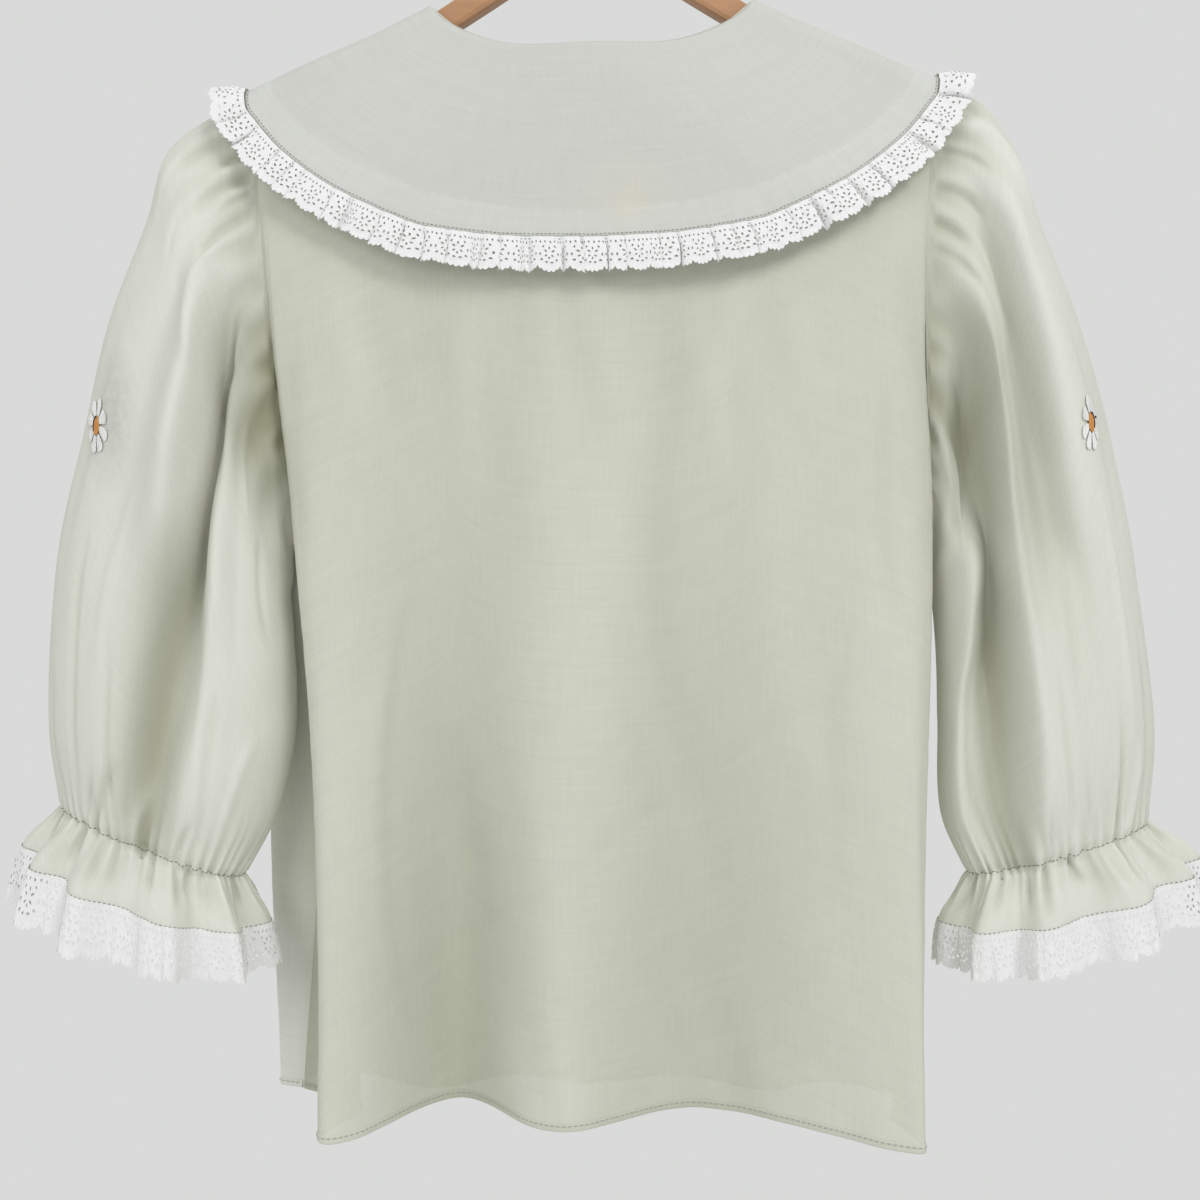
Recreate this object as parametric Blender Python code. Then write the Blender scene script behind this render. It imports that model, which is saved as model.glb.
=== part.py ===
"""An embroidered cotton blouse with a wide lace-edged collar, on a wooden hanger.

The origin is the inside top of the hanger's hook. +Z is up. The blouse shows its back
towards -Y, and its front lies towards the wall, at +Y. The wearer's left is at -X.
Tables and sizes are in millimetres. Points turn into metres where a mesh is made.
"""
import math

import bpy
import numpy as np

MM = 0.001

# Cloth walls and the spaces between them
CLOTH = 1.2
DOUBLE_CLOTH = 1.8
LACE = 1.0
SEAM = 0.35

# Hanger: a flat wooden board, its top edge falling away from the middle, and a wire hook
HANGER_HALF = 203
HANGER_THICK = 11
HANGER_EDGE = 4.6
HANGER_HEIGHT = 20
HANGER_END_HEIGHT = 15
HANGER_EASE = 3.1
HANGER_TILT = 0.022
HANGER_END_ROUND = 0.035
HANGER_COLUMNS = 29
HOOK_INSIDE_RADIUS = 19
HOOK_WIRE_RADIUS = 1.75
HOOK_STEM_BEND = -46
HOOK_SWEEP = 7
HOOK_OPENS_AT = -55
HOOK_ENDS_AT = 205
HOOK_STEPS = 22
SWEEP_STEPS = 6
HOOK_FOOT_SINK = 0.6
# (distance from the middle, height of the cloth over the hanger)
SHOULDER_LINE = ((0, -58.4), (50, -93), (98, -124.2), (150, -149.5), (200, -172.4), (230, -180))
SHOULDER_RADIUS = 9.5
SHOULDER_SLANT = 1.12

# Body
HEM = -768
UNDERARM = 0.43
NECK_HALF = 94
NECK_TOP = -120.5
NECK_DROP_BACK = 30
NECK_DROP_FRONT = 90
NECK_POWER_BACK = 3.6
NECK_POWER_FRONT = 2.4
NOMINAL_BACK = -20
REACH_FULL_DEPTH = 110

# How far down each column of the two tables below lies, from the top edge to the hem
DOWN = (0, 0.15, UNDERARM, 0.70, 1)
# x of each fold at the top, shoulder blade, underarm, waist and hem, then its depth behind
# the back's own plane at shoulder blade, underarm, waist and hem
BACK_FOLDS = (
    ("seam_left", -197, -190, -171, -165, -178, 4, 25, 42, 57),
    ("tuck_left", -189, -186, -173, -149, -137, 1, 12, 20, 28),
    ("fold_left", -180, -180, -168, -156, -152, 0, 1, -8, -17),
    ("ridge_left", -150, -150, -143, -137, -132, -1, -5, -12, -19),
    ("valley_left", -88, -85, -83, -82, -80, 0, 8, 24, 42),
    ("ridge_middle", -25, -20, -18, -18, -18, -2, -4, -7, -9),
    ("valley_right", 60, 62, 63, 63, 64, 0, 5, 15, 27),
    ("ridge_right", 145, 150, 158, 163, 165, -2, -6, -18, -33),
    ("fold_right", 183, 184, 193, 187, 182, 0, 2, -12, -28),
    ("seam_right", 199, 193.5, 196.5, 192, 173, 4, 25, 18, 10),
)
FRONT_FOLDS = (
    ("seam_left", -197, -190, -171, -165, -178, 32, 25, 42, 57),
    ("fold_left", -187, -182, -177, -196, -192, 36, 43, 60, 66),
    ("outer_wave_left", -140, -140, -142, -152, -150, 37, 52, 76, 84),
    ("inner_wave_left", -95, -95, -95, -98, -98, 36, 44, 54, 58),
    ("wave_beside_left", -50, -50, -50, -50, -50, 37, 54, 70, 80),
    ("middle", 0, 0, 0, 0, 0, 36, 48, 60, 66),
    ("wave_beside_right", 55, 55, 55, 55, 55, 37, 52, 68, 80),
    ("inner_wave_right", 105, 105, 105, 105, 105, 36, 44, 51, 55),
    ("outer_wave_right", 150, 150, 150, 150, 148, 37, 50, 62, 68),
    ("fold_right", 187, 186, 197, 197, 187, 36, 43, 44, 40),
    ("seam_right", 199, 193.5, 196.5, 192, 173, 32, 25, 18, 10),
)
FRONT_MIDDLE = 5
UNDER_BAND_LEFT = 0.16
UNDER_BAND_RIGHT = 0.18
BAND_HALF = 0.24
BAND_TOP = 0.006
BAND_EASE = 0.8
BUTTON_RADIUS = 5.5
BUTTON_THICK = 2.2
BUTTON_FIRST = -222
BUTTON_LAST = -728
BUTTONS = 7
BUTTON_SIDES = 12

# Collar: its outer edge from the middle of the back to the shoulder, as (x, height)
COLLAR_BACK_EDGE = ((0, -263.4), (55, -261), (104, -252), (127, -241.8), (147, -231),
                    (165, -218), (180, -204.5), (192, -190), (199, -180))
# and from the middle of the front to the shoulder
COLLAR_FRONT_EDGE = ((19, -309), (29, -321), (45, -325), (80, -317), (115, -299), (150, -266),
                     (180, -220), (194, -194), (199, -182))
COLLAR_EASE_AT_NECK = 1.25
COLLAR_EASE = 2.9
COLLAR_DEPTH_BACK = 23.5
COLLAR_DEPTH_FRONT = 20
COLLAR_FRONT_GAP = 6
EDGE_STEP = 0.5
COLLAR_LACE_WIDTH = 21.5
COLLAR_LACE_WAVES = 64
COLLAR_LACE_FLARE = 3.2
COLLAR_LACE_WAVE = 2.3
COLLAR_LACE_EASE = 0.4
# The collar's neck edge, from the middle of the back over the shoulder to the middle of the
# front, as (share of the way, x)
COLLAR_NECK_EDGE = ((0, 0), (0.17, 44), (0.34, 78), (0.45, 90), (0.5, NECK_HALF), (0.56, 91),
                    (0.70, 74), (0.86, 42), (1, COLLAR_FRONT_GAP))
COLLAR_TIP = 201
# Shares of the way from the back to the front at which the collar's columns lie
COLLAR_COLUMNS = (0, 0.05, 0.1, 0.15, 0.2, 0.25, 0.3, 0.35, 0.4, 0.45, 0.475, 0.488, 0.5, 0.512,
                  0.525, 0.55, 0.61, 0.67, 0.72, 0.78, 0.83, 0.89, 0.94, 1)

# Sleeves, from armhole (0) to elastic (1): the outer and the underarm line of each as x and
# height, then how far its back and its front stand from the middle of its depth
SLEEVE_STEPS = (0, 0.1, 0.2, 0.35, 0.5, 0.65, 0.8, 0.92, 1)
SLEEVE_LEFT = (
    ("armhole", -197, -176, -172, -429, 10, 12),
    ("head", -226, -188, -182, -438, 17, 15),
    ("knee", -248, -203, -184, -450, 26, 24),
    ("upper", -261, -243, -183, -468, 30, 26),
    ("daisy", -283, -305, -179, -492, 31, 27),
    ("elbow", -298, -372, -177, -520, 32, 28),
    ("lower", -315, -450, -179, -560, 34, 29),
    ("fullest", -318.5, -545, -190, -603, 34, 30),
    ("elastic", -311.3, -588.4, -206.2, -630, 28, 26),
)
SLEEVE_RIGHT = (
    ("armhole", 199, -168, 197.5, -429, 10, 12),
    ("head", 227, -177, 204, -438, 17, 15),
    ("knee", 246, -199, 206, -448, 26, 24),
    ("upper", 264, -248, 205, -464, 30, 26),
    ("daisy", 286, -305, 205, -483, 31, 27),
    ("elbow", 304, -372, 205, -508, 32, 28),
    ("lower", 319, -452, 204, -540, 34, 29),
    ("fullest", 330, -549, 207, -598, 34, 30),
    ("elastic", 325.8, -597.2, 221.9, -628.3, 28, 26),
)
SLEEVE_MIDDLE_DEPTH = 5
SLEEVE_FILLS_OVER = 0.3
SLEEVE_SEAM_FADE = 0.22
UNDERARM_FADE = 1.5
UNDERARM_SPACE = 2.5
SLEEVE_EVEN_FROM = 0.8
# Below the elastic: outer x and height, inner x and height, half depth, how far the side
# nearest -Y hangs lower, and how far the waves stand out
FRILL_STEPS = (0, 0.3, 1, 1.03, 1.9)
FRILL_LEFT = (
    ("elastic", -311.3, -588.4, -206.2, -630, 28, 3.5, 1.2),
    ("bulge", -317, -595, -203, -638, 30, 5, 3),
    ("frill_edge", -329.5, -611, -195, -657, 36, 9.5, 5.5),
    ("lace_top", -329.8, -611.8, -194.8, -657.8, 36, 9.5, 5.5),
    ("lace_edge", -337, -644, -190, -683.5, 40, 13, 7),
)
FRILL_RIGHT = (
    ("elastic", 325.8, -597.2, 221.9, -628.3, 28, 3.5, 1.2),
    ("bulge", 334, -603, 218, -637, 30, 5, 3),
    ("frill_edge", 351.6, -617.7, 209.5, -656.5, 36, 9.5, 5.5),
    ("lace_top", 351.8, -618.5, 209.3, -657.3, 36, 9.5, 5.5),
    ("lace_edge", 356, -643, 208.6, -683, 40, 13, 7),
)
# Folds down the side of each sleeve that shows: where each lies from the outer line (0) to
# the underarm line (1) at four places down the sleeve, then how far it stands out there
FOLD_STEPS = (0, 0.1, 0.35, 0.65, 0.9, 1)
SLEEVE_LEFT_FOLDS = (
    ("outer_line", 0, 0, 0, 0, 0, 0, 0, 0),
    ("crest", 0.20, 0.26, 0.26, 0.20, 2, 6, 6, 2),
    ("crest_edge", 0.37, 0.48, 0.50, 0.42, 3, 8, 8, 1),
    ("crease", 0.43, 0.55, 0.58, 0.56, -3, -9, -9, -5),
    ("bulge", 0.60, 0.70, 0.77, 0.80, 1, 4, 5, 4),
    ("underarm_line", 1, 1, 1, 1, 0, 0, 0, 0),
)
SLEEVE_RIGHT_FOLDS = (
    ("outer_line", 0, 0, 0, 0, 0, 0, 0, 0),
    ("pleat", 0.16, 0.23, 0.29, 0.27, 2, 7, 6, 2),
    ("pleat_foot", 0.22, 0.32, 0.39, 0.38, -3, -5, -4, 0),
    ("ridge", 0.42, 0.50, 0.61, 0.58, 1, 5, 6, 5),
    ("valley", 0.53, 0.64, 0.75, 0.74, -4, -10, -12, -8),
    ("underarm_fold", 0.93, 0.87, 0.85, 0.92, 0, 1, 3, 1),
    ("underarm_line", 1, 1, 1, 1, 0, 0, 0, 0),
)
HEAD_GATHER = 1.7
HEAD_GATHER_FADES = (0.05, 0.33)
HEAD_PLAIN = 0.12
CUFF_GATHER = 0.7
CUFF_GATHER_GROWS = (0.86, 0.96)
FRONT_WAVE = 3
FRONT_WAVES = 9
GATHER_COLUMNS = 4

# Daisies on the outer side of each sleeve
DAISY_RADIUS = 14
DAISY_EYE_RADIUS = 4.6
DAISY_PETALS = 8
DAISY_NOTCH = 0.22
DAISY_EYE_SIDES = 12
DAISY_THICK = 0.8
DAISY_EASE = 0.6
DAISY_LEFT = (0.61, 0.62)           # how far down the sleeve, and the angle round it
DAISY_RIGHT = (0.585, 0.85)

# How finely each piece is divided
BACK_COLUMNS_PER_FOLD = 4
FRONT_COLUMNS_PER_FOLD = 3
BODY_ROWS = (0.00003, 0.0011, 0.0047, 0.016, 0.05, 0.11, 0.20, 0.31, 0.43, 0.55, 0.67, 0.78,
             0.89, 1)
SLEEVE_ROWS = (0, 0.02, 0.05, 0.10, 0.17, 0.27, 0.39, 0.52, 0.65, 0.78, 0.88, 0.95, 1)
FRILL_ROWS = (0.3, 0.65, 1)
CUFF_LACE_ROWS = (1.03, 1.5, 1.9)
# Sleeve columns in each space between two rows of the body, from the shoulder to the underarm
ARMHOLE_SPLITS = (1, 1, 1, 3, 4, 4, 3, 3)
COLLAR_ROWS = 5
# How far inside the ends of the neckline extra columns of the body lie
NECK_COLUMNS = (0, 0.5, 1.7, 5)
COLUMNS_APART = 0.1


def clear_scene():
    for item in list(bpy.data.objects):
        bpy.data.objects.remove(item, do_unlink=True)


def smooth(knots, values, at):
    """A curve through values at the knots, without corners, read at each place in at."""
    knots = np.asarray(knots, float)
    values = np.asarray(values, float)
    at = np.clip(np.asarray(at, float), knots[0], knots[-1])
    slopes = np.gradient(values, knots, axis=0)
    cell = np.clip(np.searchsorted(knots, at, side="right") - 1, 0, len(knots) - 2)
    width = knots[cell + 1] - knots[cell]
    t = (at - knots[cell]) / width
    spare = (1,) * (values.ndim - 1)
    t = t.reshape(t.shape + spare)
    width = width.reshape(width.shape + spare)
    start = (2 * t**3 - 3 * t**2 + 1) * values[cell]
    start_slope = (t**3 - 2 * t**2 + t) * width * slopes[cell]
    end = (3 * t**2 - 2 * t**3) * values[cell + 1]
    end_slope = (t**3 - t**2) * width * slopes[cell + 1]
    return start + start_slope + end + end_slope


def ease(x):
    """From 0 to 1, level at both ends."""
    x = np.clip(x, 0, 1)
    return x * x * (3 - 2 * x)


def rise(x, start, end):
    """From 0 at start to 1 at end, level at both."""
    return ease((x - start) / (end - start))


def shoulder_height(x):
    """Height of the body cloth's upper face where it lies over the hanger."""
    away, height = np.array(SHOULDER_LINE, float).T
    return np.interp(np.abs(x), away, height) + HANGER_TILT * np.asarray(x)


def neckline(x, drop, power):
    """Height of the neckline, lowest in the middle."""
    share = np.clip(np.abs(x) / NECK_HALF, 0, 1.2)
    return NECK_TOP - drop * (1 - share**power) + HANGER_TILT * np.asarray(x)


def standing_off(drop, radius, depth):
    """How far cloth stands from the hanger's plane at a drop below the shoulder line."""
    round_over = np.sqrt(np.clip(radius**2 - (radius - np.clip(drop, 0, radius)) ** 2, 0, None))
    return round_over + (depth - radius) * ease(drop / REACH_FULL_DEPTH)


def seam_lines(table, down):
    """Each fold's value down the garment. The seams at both edges bend at the underarm, so
    that those of the back and the front are the same below it."""
    lines = smooth(DOWN, table, down)
    bend = DOWN.index(UNDERARM)
    for edge in (0, -1):
        above = smooth(DOWN[:bend + 1], table[:bend + 1, edge], down)
        below = smooth(DOWN[bend:], table[bend:, edge], down)
        lines[:, edge] = np.where(down < UNDERARM, above, below)
    return lines


def body_points(folds, side, across, down):
    """Points of the body's outer face, for places across the folds and down the garment.

    side is -1 for the back and 1 for the front. The folds' x and depth run smoothly down
    the garment and from fold to fold.
    """
    number = np.arange(len(folds))
    x_table = np.array([row[1:6] for row in folds], float)
    depth_table = np.array([(row[6],) + row[6:] for row in folds], float)
    down = np.asarray(down, float)
    x_lines = seam_lines(x_table.T, down)
    depth_lines = seam_lines(depth_table.T, down)
    x = smooth(number, x_lines.T, across).T
    depth = side * (smooth(number, depth_lines.T, across).T + NOMINAL_BACK)
    x_top = smooth(number, x_table[:, 0], across)
    neck_drop = NECK_DROP_BACK if side < 0 else NECK_DROP_FRONT
    neck_power = NECK_POWER_BACK if side < 0 else NECK_POWER_FRONT
    top = np.minimum(shoulder_height(x_top), neckline(x_top, neck_drop, neck_power))
    z = top[None, :] + (HEM - top[None, :]) * down[:, None]
    y = side * standing_off(shoulder_height(x) - z, SHOULDER_RADIUS, depth)
    return np.stack([x, y, z], axis=-1)


def trim(grid):
    """Draws both side edges of a panel back by half a seam."""
    for edge, beside in ((0, 1), (-1, -2)):
        inward = grid[:, beside] - grid[:, edge]
        grid[:, edge] += inward * SEAM / np.linalg.norm(inward, axis=1, keepdims=True)
    return grid


def material(name, colour, roughness, metallic=0.0):
    made = bpy.data.materials.new(name)
    made.use_nodes = True
    shader = made.node_tree.nodes["Principled BSDF"]
    shader.inputs["Base Color"].default_value = (*colour, 1)
    shader.inputs["Roughness"].default_value = roughness
    shader.inputs["Metallic"].default_value = metallic
    return made


def mesh_object(name, points, faces, look):
    """A smooth-shaded object from points in millimetres."""
    mesh = bpy.data.meshes.new(name)
    mesh.from_pydata((np.asarray(points).reshape(-1, 3) * MM).tolist(), [], faces)
    mesh.materials.append(look)
    mesh.shade_smooth()
    made = bpy.data.objects.new(name, mesh)
    bpy.context.collection.objects.link(made)
    return made


def thicken(made, thickness):
    """Gives an outer face its wall, on the inside."""
    wall = made.modifiers.new("wall", "SOLIDIFY")
    wall.thickness = thickness * MM
    wall.offset = -1
    wall.use_even_offset = False
    return made


def cloth(name, grid, thickness, look, ring=False):
    """A cloth wall on a grid of points, rows down and columns across.

    Its outer face is the side from which the columns run to the right. A ring closes on
    itself from the last column to the first.
    """
    rows, columns = grid.shape[:2]
    faces = []
    for r in range(rows - 1):
        for c in range(columns if ring else columns - 1):
            near = (c + 1) % columns
            faces.append((r * columns + c, (r + 1) * columns + c,
                          (r + 1) * columns + near, r * columns + near))
    return thicken(mesh_object(name, grid, faces, look), thickness)


def with_neck_corners(folds, across):
    """Adds columns at each end of the neckline that lies in this piece."""
    number = np.arange(len(folds))
    top = [row[1] for row in folds]
    places = np.array([NECK_HALF - beside for beside in NECK_COLUMNS])
    corners = np.interp(np.concatenate([-places, places[::-1]]), top, number)
    low, high = sorted((across[0], across[-1]))
    corners = corners[(corners > low) & (corners < high)]
    far = np.min(np.abs(across[:, None] - corners[None]), axis=1) > COLUMNS_APART
    far[[0, -1]] = True
    both = np.sort(np.concatenate([across[far], corners]))
    return both if across[0] < across[-1] else both[::-1]


def make_back(look):
    last = len(BACK_FOLDS) - 1
    across = np.linspace(0, last, last * BACK_COLUMNS_PER_FOLD + 1)
    across = with_neck_corners(BACK_FOLDS, across)
    cloth("back", trim(body_points(BACK_FOLDS, -1, across, BODY_ROWS)), CLOTH, look)


def make_fronts(look):
    """Both fronts, which meet edge to edge under the button band."""
    last = len(FRONT_FOLDS) - 1
    left_edge = FRONT_MIDDLE + UNDER_BAND_LEFT
    right_edge = FRONT_MIDDLE + UNDER_BAND_RIGHT
    columns = FRONT_MIDDLE * FRONT_COLUMNS_PER_FOLD + 2
    for name, first, end in (("front_left", 0, left_edge), ("front_right", right_edge, last)):
        across = with_neck_corners(FRONT_FOLDS, np.linspace(end, first, columns))
        cloth(name, trim(body_points(FRONT_FOLDS, 1, across, BODY_ROWS)), CLOTH, look)


def band_points(down):
    """Outer face of the button band, which lies on both fronts."""
    across = np.linspace(FRONT_MIDDLE + BAND_HALF, FRONT_MIDDLE - BAND_HALF, 4)
    grid = body_points(FRONT_FOLDS, 1, across, down)
    grid[..., 1] += BAND_EASE + DOUBLE_CLOTH
    return grid


def band_rows():
    return np.concatenate([[BAND_TOP], np.array(BODY_ROWS)[5:]])


def make_band(look):
    cloth("button_band", band_points(band_rows()), DOUBLE_CLOTH, look)


def make_buttons(look):
    """Flat round buttons down the middle of the band."""
    face = band_points(band_rows())
    for number, z in enumerate(np.linspace(BUTTON_FIRST, BUTTON_LAST, BUTTONS)):
        rim = -np.array([z + BUTTON_RADIUS, z - BUTTON_RADIUS])
        seat = max(np.interp(rim, -face[:, c, 2], face[:, c, 1]).max() for c in (1, 2))
        bpy.ops.mesh.primitive_cylinder_add(
            vertices=BUTTON_SIDES, radius=BUTTON_RADIUS * MM, depth=BUTTON_THICK * MM,
            location=(0, (seat + SEAM + BUTTON_THICK / 2) * MM, z * MM),
            rotation=(math.pi / 2, 0, 0))
        button = bpy.context.object
        button.name = f"button_{number + 1}"
        button.data.materials.append(look)
        button.data.shade_smooth()
        button.data.set_sharp_from_angle(angle=math.radians(40))


def over_distance(drop):
    """Distance over the rounded shoulder line that ends at a drop below it."""
    round_part = np.arccos(1 - np.clip(drop, 0, SHOULDER_RADIUS) / SHOULDER_RADIUS)
    return SHOULDER_RADIUS * round_part + np.clip(drop - SHOULDER_RADIUS, 0, None)


def collar_edges(along):
    """The neck edge and the outer edge of the collar, as x and signed distance from the
    shoulder line, positive over the back.

    along runs from -1 in the middle of the front, left, over 0 in the middle of the back,
    to 1 in the middle of the front, right.
    """
    back_x, back_z = np.array(COLLAR_BACK_EDGE, float).T
    front_x, front_z = np.array(COLLAR_FRONT_EDGE, float).T
    level = np.interp(back_x, *np.array(SHOULDER_LINE, float).T)
    front_level = np.interp(front_x, *np.array(SHOULDER_LINE, float).T)
    outer_x = np.concatenate([back_x, [COLLAR_TIP], front_x[::-1]])
    back_q = over_distance(level - back_z)
    front_q = over_distance(front_level - front_z)
    outer_q = np.concatenate([back_q, [0], -front_q[::-1]])
    lengths = np.hypot(np.diff(outer_x), np.diff(outer_q))
    knots = np.concatenate([[0], np.cumsum(lengths)])
    shoulder = knots[len(back_x)]
    knots = np.interp(knots, (0, shoulder, knots[-1]), (0, 0.5, 1))
    outer = smooth(knots, np.stack([outer_x, outer_q], axis=1), np.abs(along))
    turn, neck_x = np.array(COLLAR_NECK_EDGE, float).T
    neck_level = np.interp(neck_x, *np.array(SHOULDER_LINE, float).T)
    back_neck = neckline(neck_x, NECK_DROP_BACK, NECK_POWER_BACK) - HANGER_TILT * neck_x
    front_neck = neckline(neck_x, NECK_DROP_FRONT, NECK_POWER_FRONT) - HANGER_TILT * neck_x
    back_q = over_distance(neck_level - back_neck)
    front_q = over_distance(neck_level - front_neck)
    neck_q = np.select([turn < 0.5, turn > 0.5], [back_q, -front_q], 0)
    inner = smooth(turn, np.stack([neck_x, neck_q], axis=1), np.abs(along))
    side = np.where(along < 0, -1.0, 1.0)[:, None]
    mirror = np.concatenate([side, np.ones_like(side)], axis=1)
    return inner * mirror, outer * mirror


def over_shoulder(flat, space):
    """Carries flat collar points over the shoulder line and down both sides.

    Their outer face stands a space clear of the body's outer face.
    """
    x, q = flat[..., 0], flat[..., 1]
    angle = np.clip(np.abs(q) / SHOULDER_RADIUS, 0, math.pi / 2)
    drop = SHOULDER_RADIUS * (1 - np.cos(angle))
    drop += np.clip(np.abs(q) - SHOULDER_RADIUS * math.pi / 2, 0, None)
    depth = np.where(q > 0, COLLAR_DEPTH_BACK, COLLAR_DEPTH_FRONT)
    off = SHOULDER_RADIUS * np.sin(angle)
    off += (depth - SHOULDER_RADIUS) * ease(drop / REACH_FULL_DEPTH)
    y = -np.sign(q) * (off + space * np.sin(angle))
    z = shoulder_height(x) - drop + space * np.cos(angle) * SHOULDER_SLANT
    return np.stack([x, y, z], axis=-1)


def out_of_edge(inner, outer):
    """The flat direction out of the collar's edge that is square to it over the shoulder."""
    space = COLLAR_EASE + DOUBLE_CLOTH
    sideways = np.array([EDGE_STEP, 0])
    downward = np.array([0, EDGE_STEP])
    across = over_shoulder(outer + sideways, space) - over_shoulder(outer - sideways, space)
    below = over_shoulder(outer + downward, space) - over_shoulder(outer - downward, space)
    ahead = np.gradient(over_shoulder(outer, space), axis=0)
    turned = np.stack([np.sum(below * ahead, axis=1), -np.sum(across * ahead, axis=1)], axis=1)
    out = turned[:, :1] * across + turned[:, 1:] * below
    turned *= 2 * EDGE_STEP / np.linalg.norm(out, axis=1, keepdims=True)
    return turned * np.sign(np.sum(turned * (outer - inner), axis=1, keepdims=True))


def make_collar(look):
    half = np.array(COLLAR_COLUMNS)
    along = np.concatenate([-half[:0:-1], half])
    inner, outer = collar_edges(along)
    share = np.linspace(0, 1, COLLAR_ROWS)[:, None]
    flat = inner[None] + (outer - inner)[None] * share[..., None]
    space = COLLAR_EASE_AT_NECK + (COLLAR_EASE - COLLAR_EASE_AT_NECK) * ease(share / 0.8)
    cloth("collar", over_shoulder(flat, space + DOUBLE_CLOTH), DOUBLE_CLOTH, look)


def make_collar_lace(look):
    """Gathered lace round the collar's outer edge, in waves that grow towards its rim."""
    steps = COLLAR_LACE_WAVES * 4
    along = np.linspace(-1, 1, steps + 1)
    inner, outer = collar_edges(along)
    out = out_of_edge(inner, outer)
    wave = np.sin(np.arange(steps + 1) * math.pi / 2)
    rows = []
    for share in (0, 1):
        reach = SEAM + COLLAR_LACE_WIDTH * share
        swell = COLLAR_LACE_WAVE * (0.3 + 0.7 * share) * wave
        flat = outer + out * reach
        space = COLLAR_EASE + DOUBLE_CLOTH + COLLAR_LACE_EASE + COLLAR_LACE_FLARE * share + swell
        rows.append(over_shoulder(flat, space))
    cloth("collar_lace", np.stack(rows), LACE, look)


def armhole_rows():
    """Places down the body where the sleeve's columns start, which take in its own rows."""
    rows = np.concatenate([[0], BODY_ROWS[1:len(ARMHOLE_SPLITS) + 1]])
    spans = zip(rows[:-1], rows[1:], ARMHOLE_SPLITS)
    return np.concatenate([np.linspace(a, b, n, endpoint=False) for a, b, n in spans])


def ring_angles(down):
    """The columns' angles round the sleeve's rings, bunched together at its head."""
    half = sum(ARMHOLE_SPLITS)
    first = np.arccos(1 - 2 * armhole_rows() / UNDERARM)
    even = np.arange(half) / half * math.pi
    free = ease(np.asarray(down, float) / SLEEVE_EVEN_FROM)[:, None]
    near = first[None] * (1 - free) + even[None] * free
    far = 2 * math.pi - np.concatenate([np.full((len(free), 1), math.pi), near[:, :0:-1]], axis=1)
    return np.concatenate([near, far], axis=1)


def sleeve_points(side, down, angle):
    """Points of a sleeve's inner face.

    down runs from the armhole (0) to the elastic (1). angle goes round a ring from the
    sleeve's outer line over its back (pi / 2) and the underarm (pi) to its front.
    """
    left = side < 0
    table = np.array([row[1:] for row in (SLEEVE_LEFT if left else SLEEVE_RIGHT)], float)
    line = smooth(SLEEVE_STEPS, table, down)[:, None, :]
    share = (1 - np.cos(angle)) / 2
    x = line[..., 0] + (line[..., 2] - line[..., 0]) * share
    z = line[..., 1] + (line[..., 3] - line[..., 1]) * share
    round_depth = np.sin(angle)
    near = round_depth > 0
    filled = rise(down, 0, SLEEVE_FILLS_OVER)[:, None]
    middle = SLEEVE_MIDDLE_DEPTH * filled
    y = middle - np.where(near, line[..., 4], line[..., 5]) * round_depth
    y -= np.where(near, fold_height(left, down, share), 0)
    wave = FRONT_WAVE * np.sin(share * FRONT_WAVES) * np.sin(angle) ** 2
    y += np.where(near, 0, wave * filled)
    gather = np.cos(np.arange(angle.shape[1]) * 2 * math.pi / GATHER_COLUMNS)
    head = rise(down, 0, HEAD_GATHER_FADES[0]) * (1 - rise(down, *HEAD_GATHER_FADES))
    low = CUFF_GATHER * rise(down, *CUFF_GATHER_GROWS)
    swell = head[:, None] * rise(share, 0, HEAD_PLAIN) + low[:, None]
    y -= HEAD_GATHER * gather * np.sin(angle) * swell
    points = np.stack([x, y, z], axis=-1)
    armhole = armhole_points(side, share, near)
    start_x = table[0, 0] + (table[0, 2] - table[0, 0]) * share
    start_z = table[0, 1] + (table[0, 3] - table[0, 1]) * share
    start_depth = np.where(near, table[0, 4], table[0, 5])
    start = np.stack([start_x, -start_depth * round_depth, start_z], axis=-1)
    hold = np.empty(points.shape)
    hold[...] = 1 - ease(down / SLEEVE_SEAM_FADE)[:, None, None]
    hold[..., 1] = 1 - ease(down[:, None] / (SLEEVE_SEAM_FADE * (1 + UNDERARM_FADE * share)))
    return points + (armhole - start) * hold


def armhole_points(side, share, near):
    """The armhole's seam on the body, from the shoulder (0) to the underarm (1)."""
    rows = np.concatenate([[0], BODY_ROWS[1:len(ARMHOLE_SPLITS) + 1]])
    ends = []
    for folds, facing in ((BACK_FOLDS, -1), (FRONT_FOLDS, 1)):
        number = 0 if side < 0 else len(folds) - 1
        line = body_points(folds, facing, np.array([number]), rows)[:, 0]
        ends.append(np.stack([np.interp(share * UNDERARM, rows, v) for v in line.T], axis=-1))
    seam = np.where(near[..., None], ends[0], ends[1])
    seam[..., 0] += side * SEAM * (1 + UNDERARM_SPACE * share)
    return seam


def fold_height(left, down, share):
    """How far the sleeve's folds stand out, at each place down and across it."""
    folds = SLEEVE_LEFT_FOLDS if left else SLEEVE_RIGHT_FOLDS
    place = np.array([(row[1],) + row[1:5] + (row[4],) for row in folds], float)
    height = np.array([(0,) + row[5:9] + (0,) for row in folds], float)
    place_lines = smooth(FOLD_STEPS, place.T, down)
    height_lines = smooth(FOLD_STEPS, height.T, down)
    made = [smooth(p, h, s) for p, h, s in zip(place_lines, height_lines, share)]
    return np.array(made)


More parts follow.
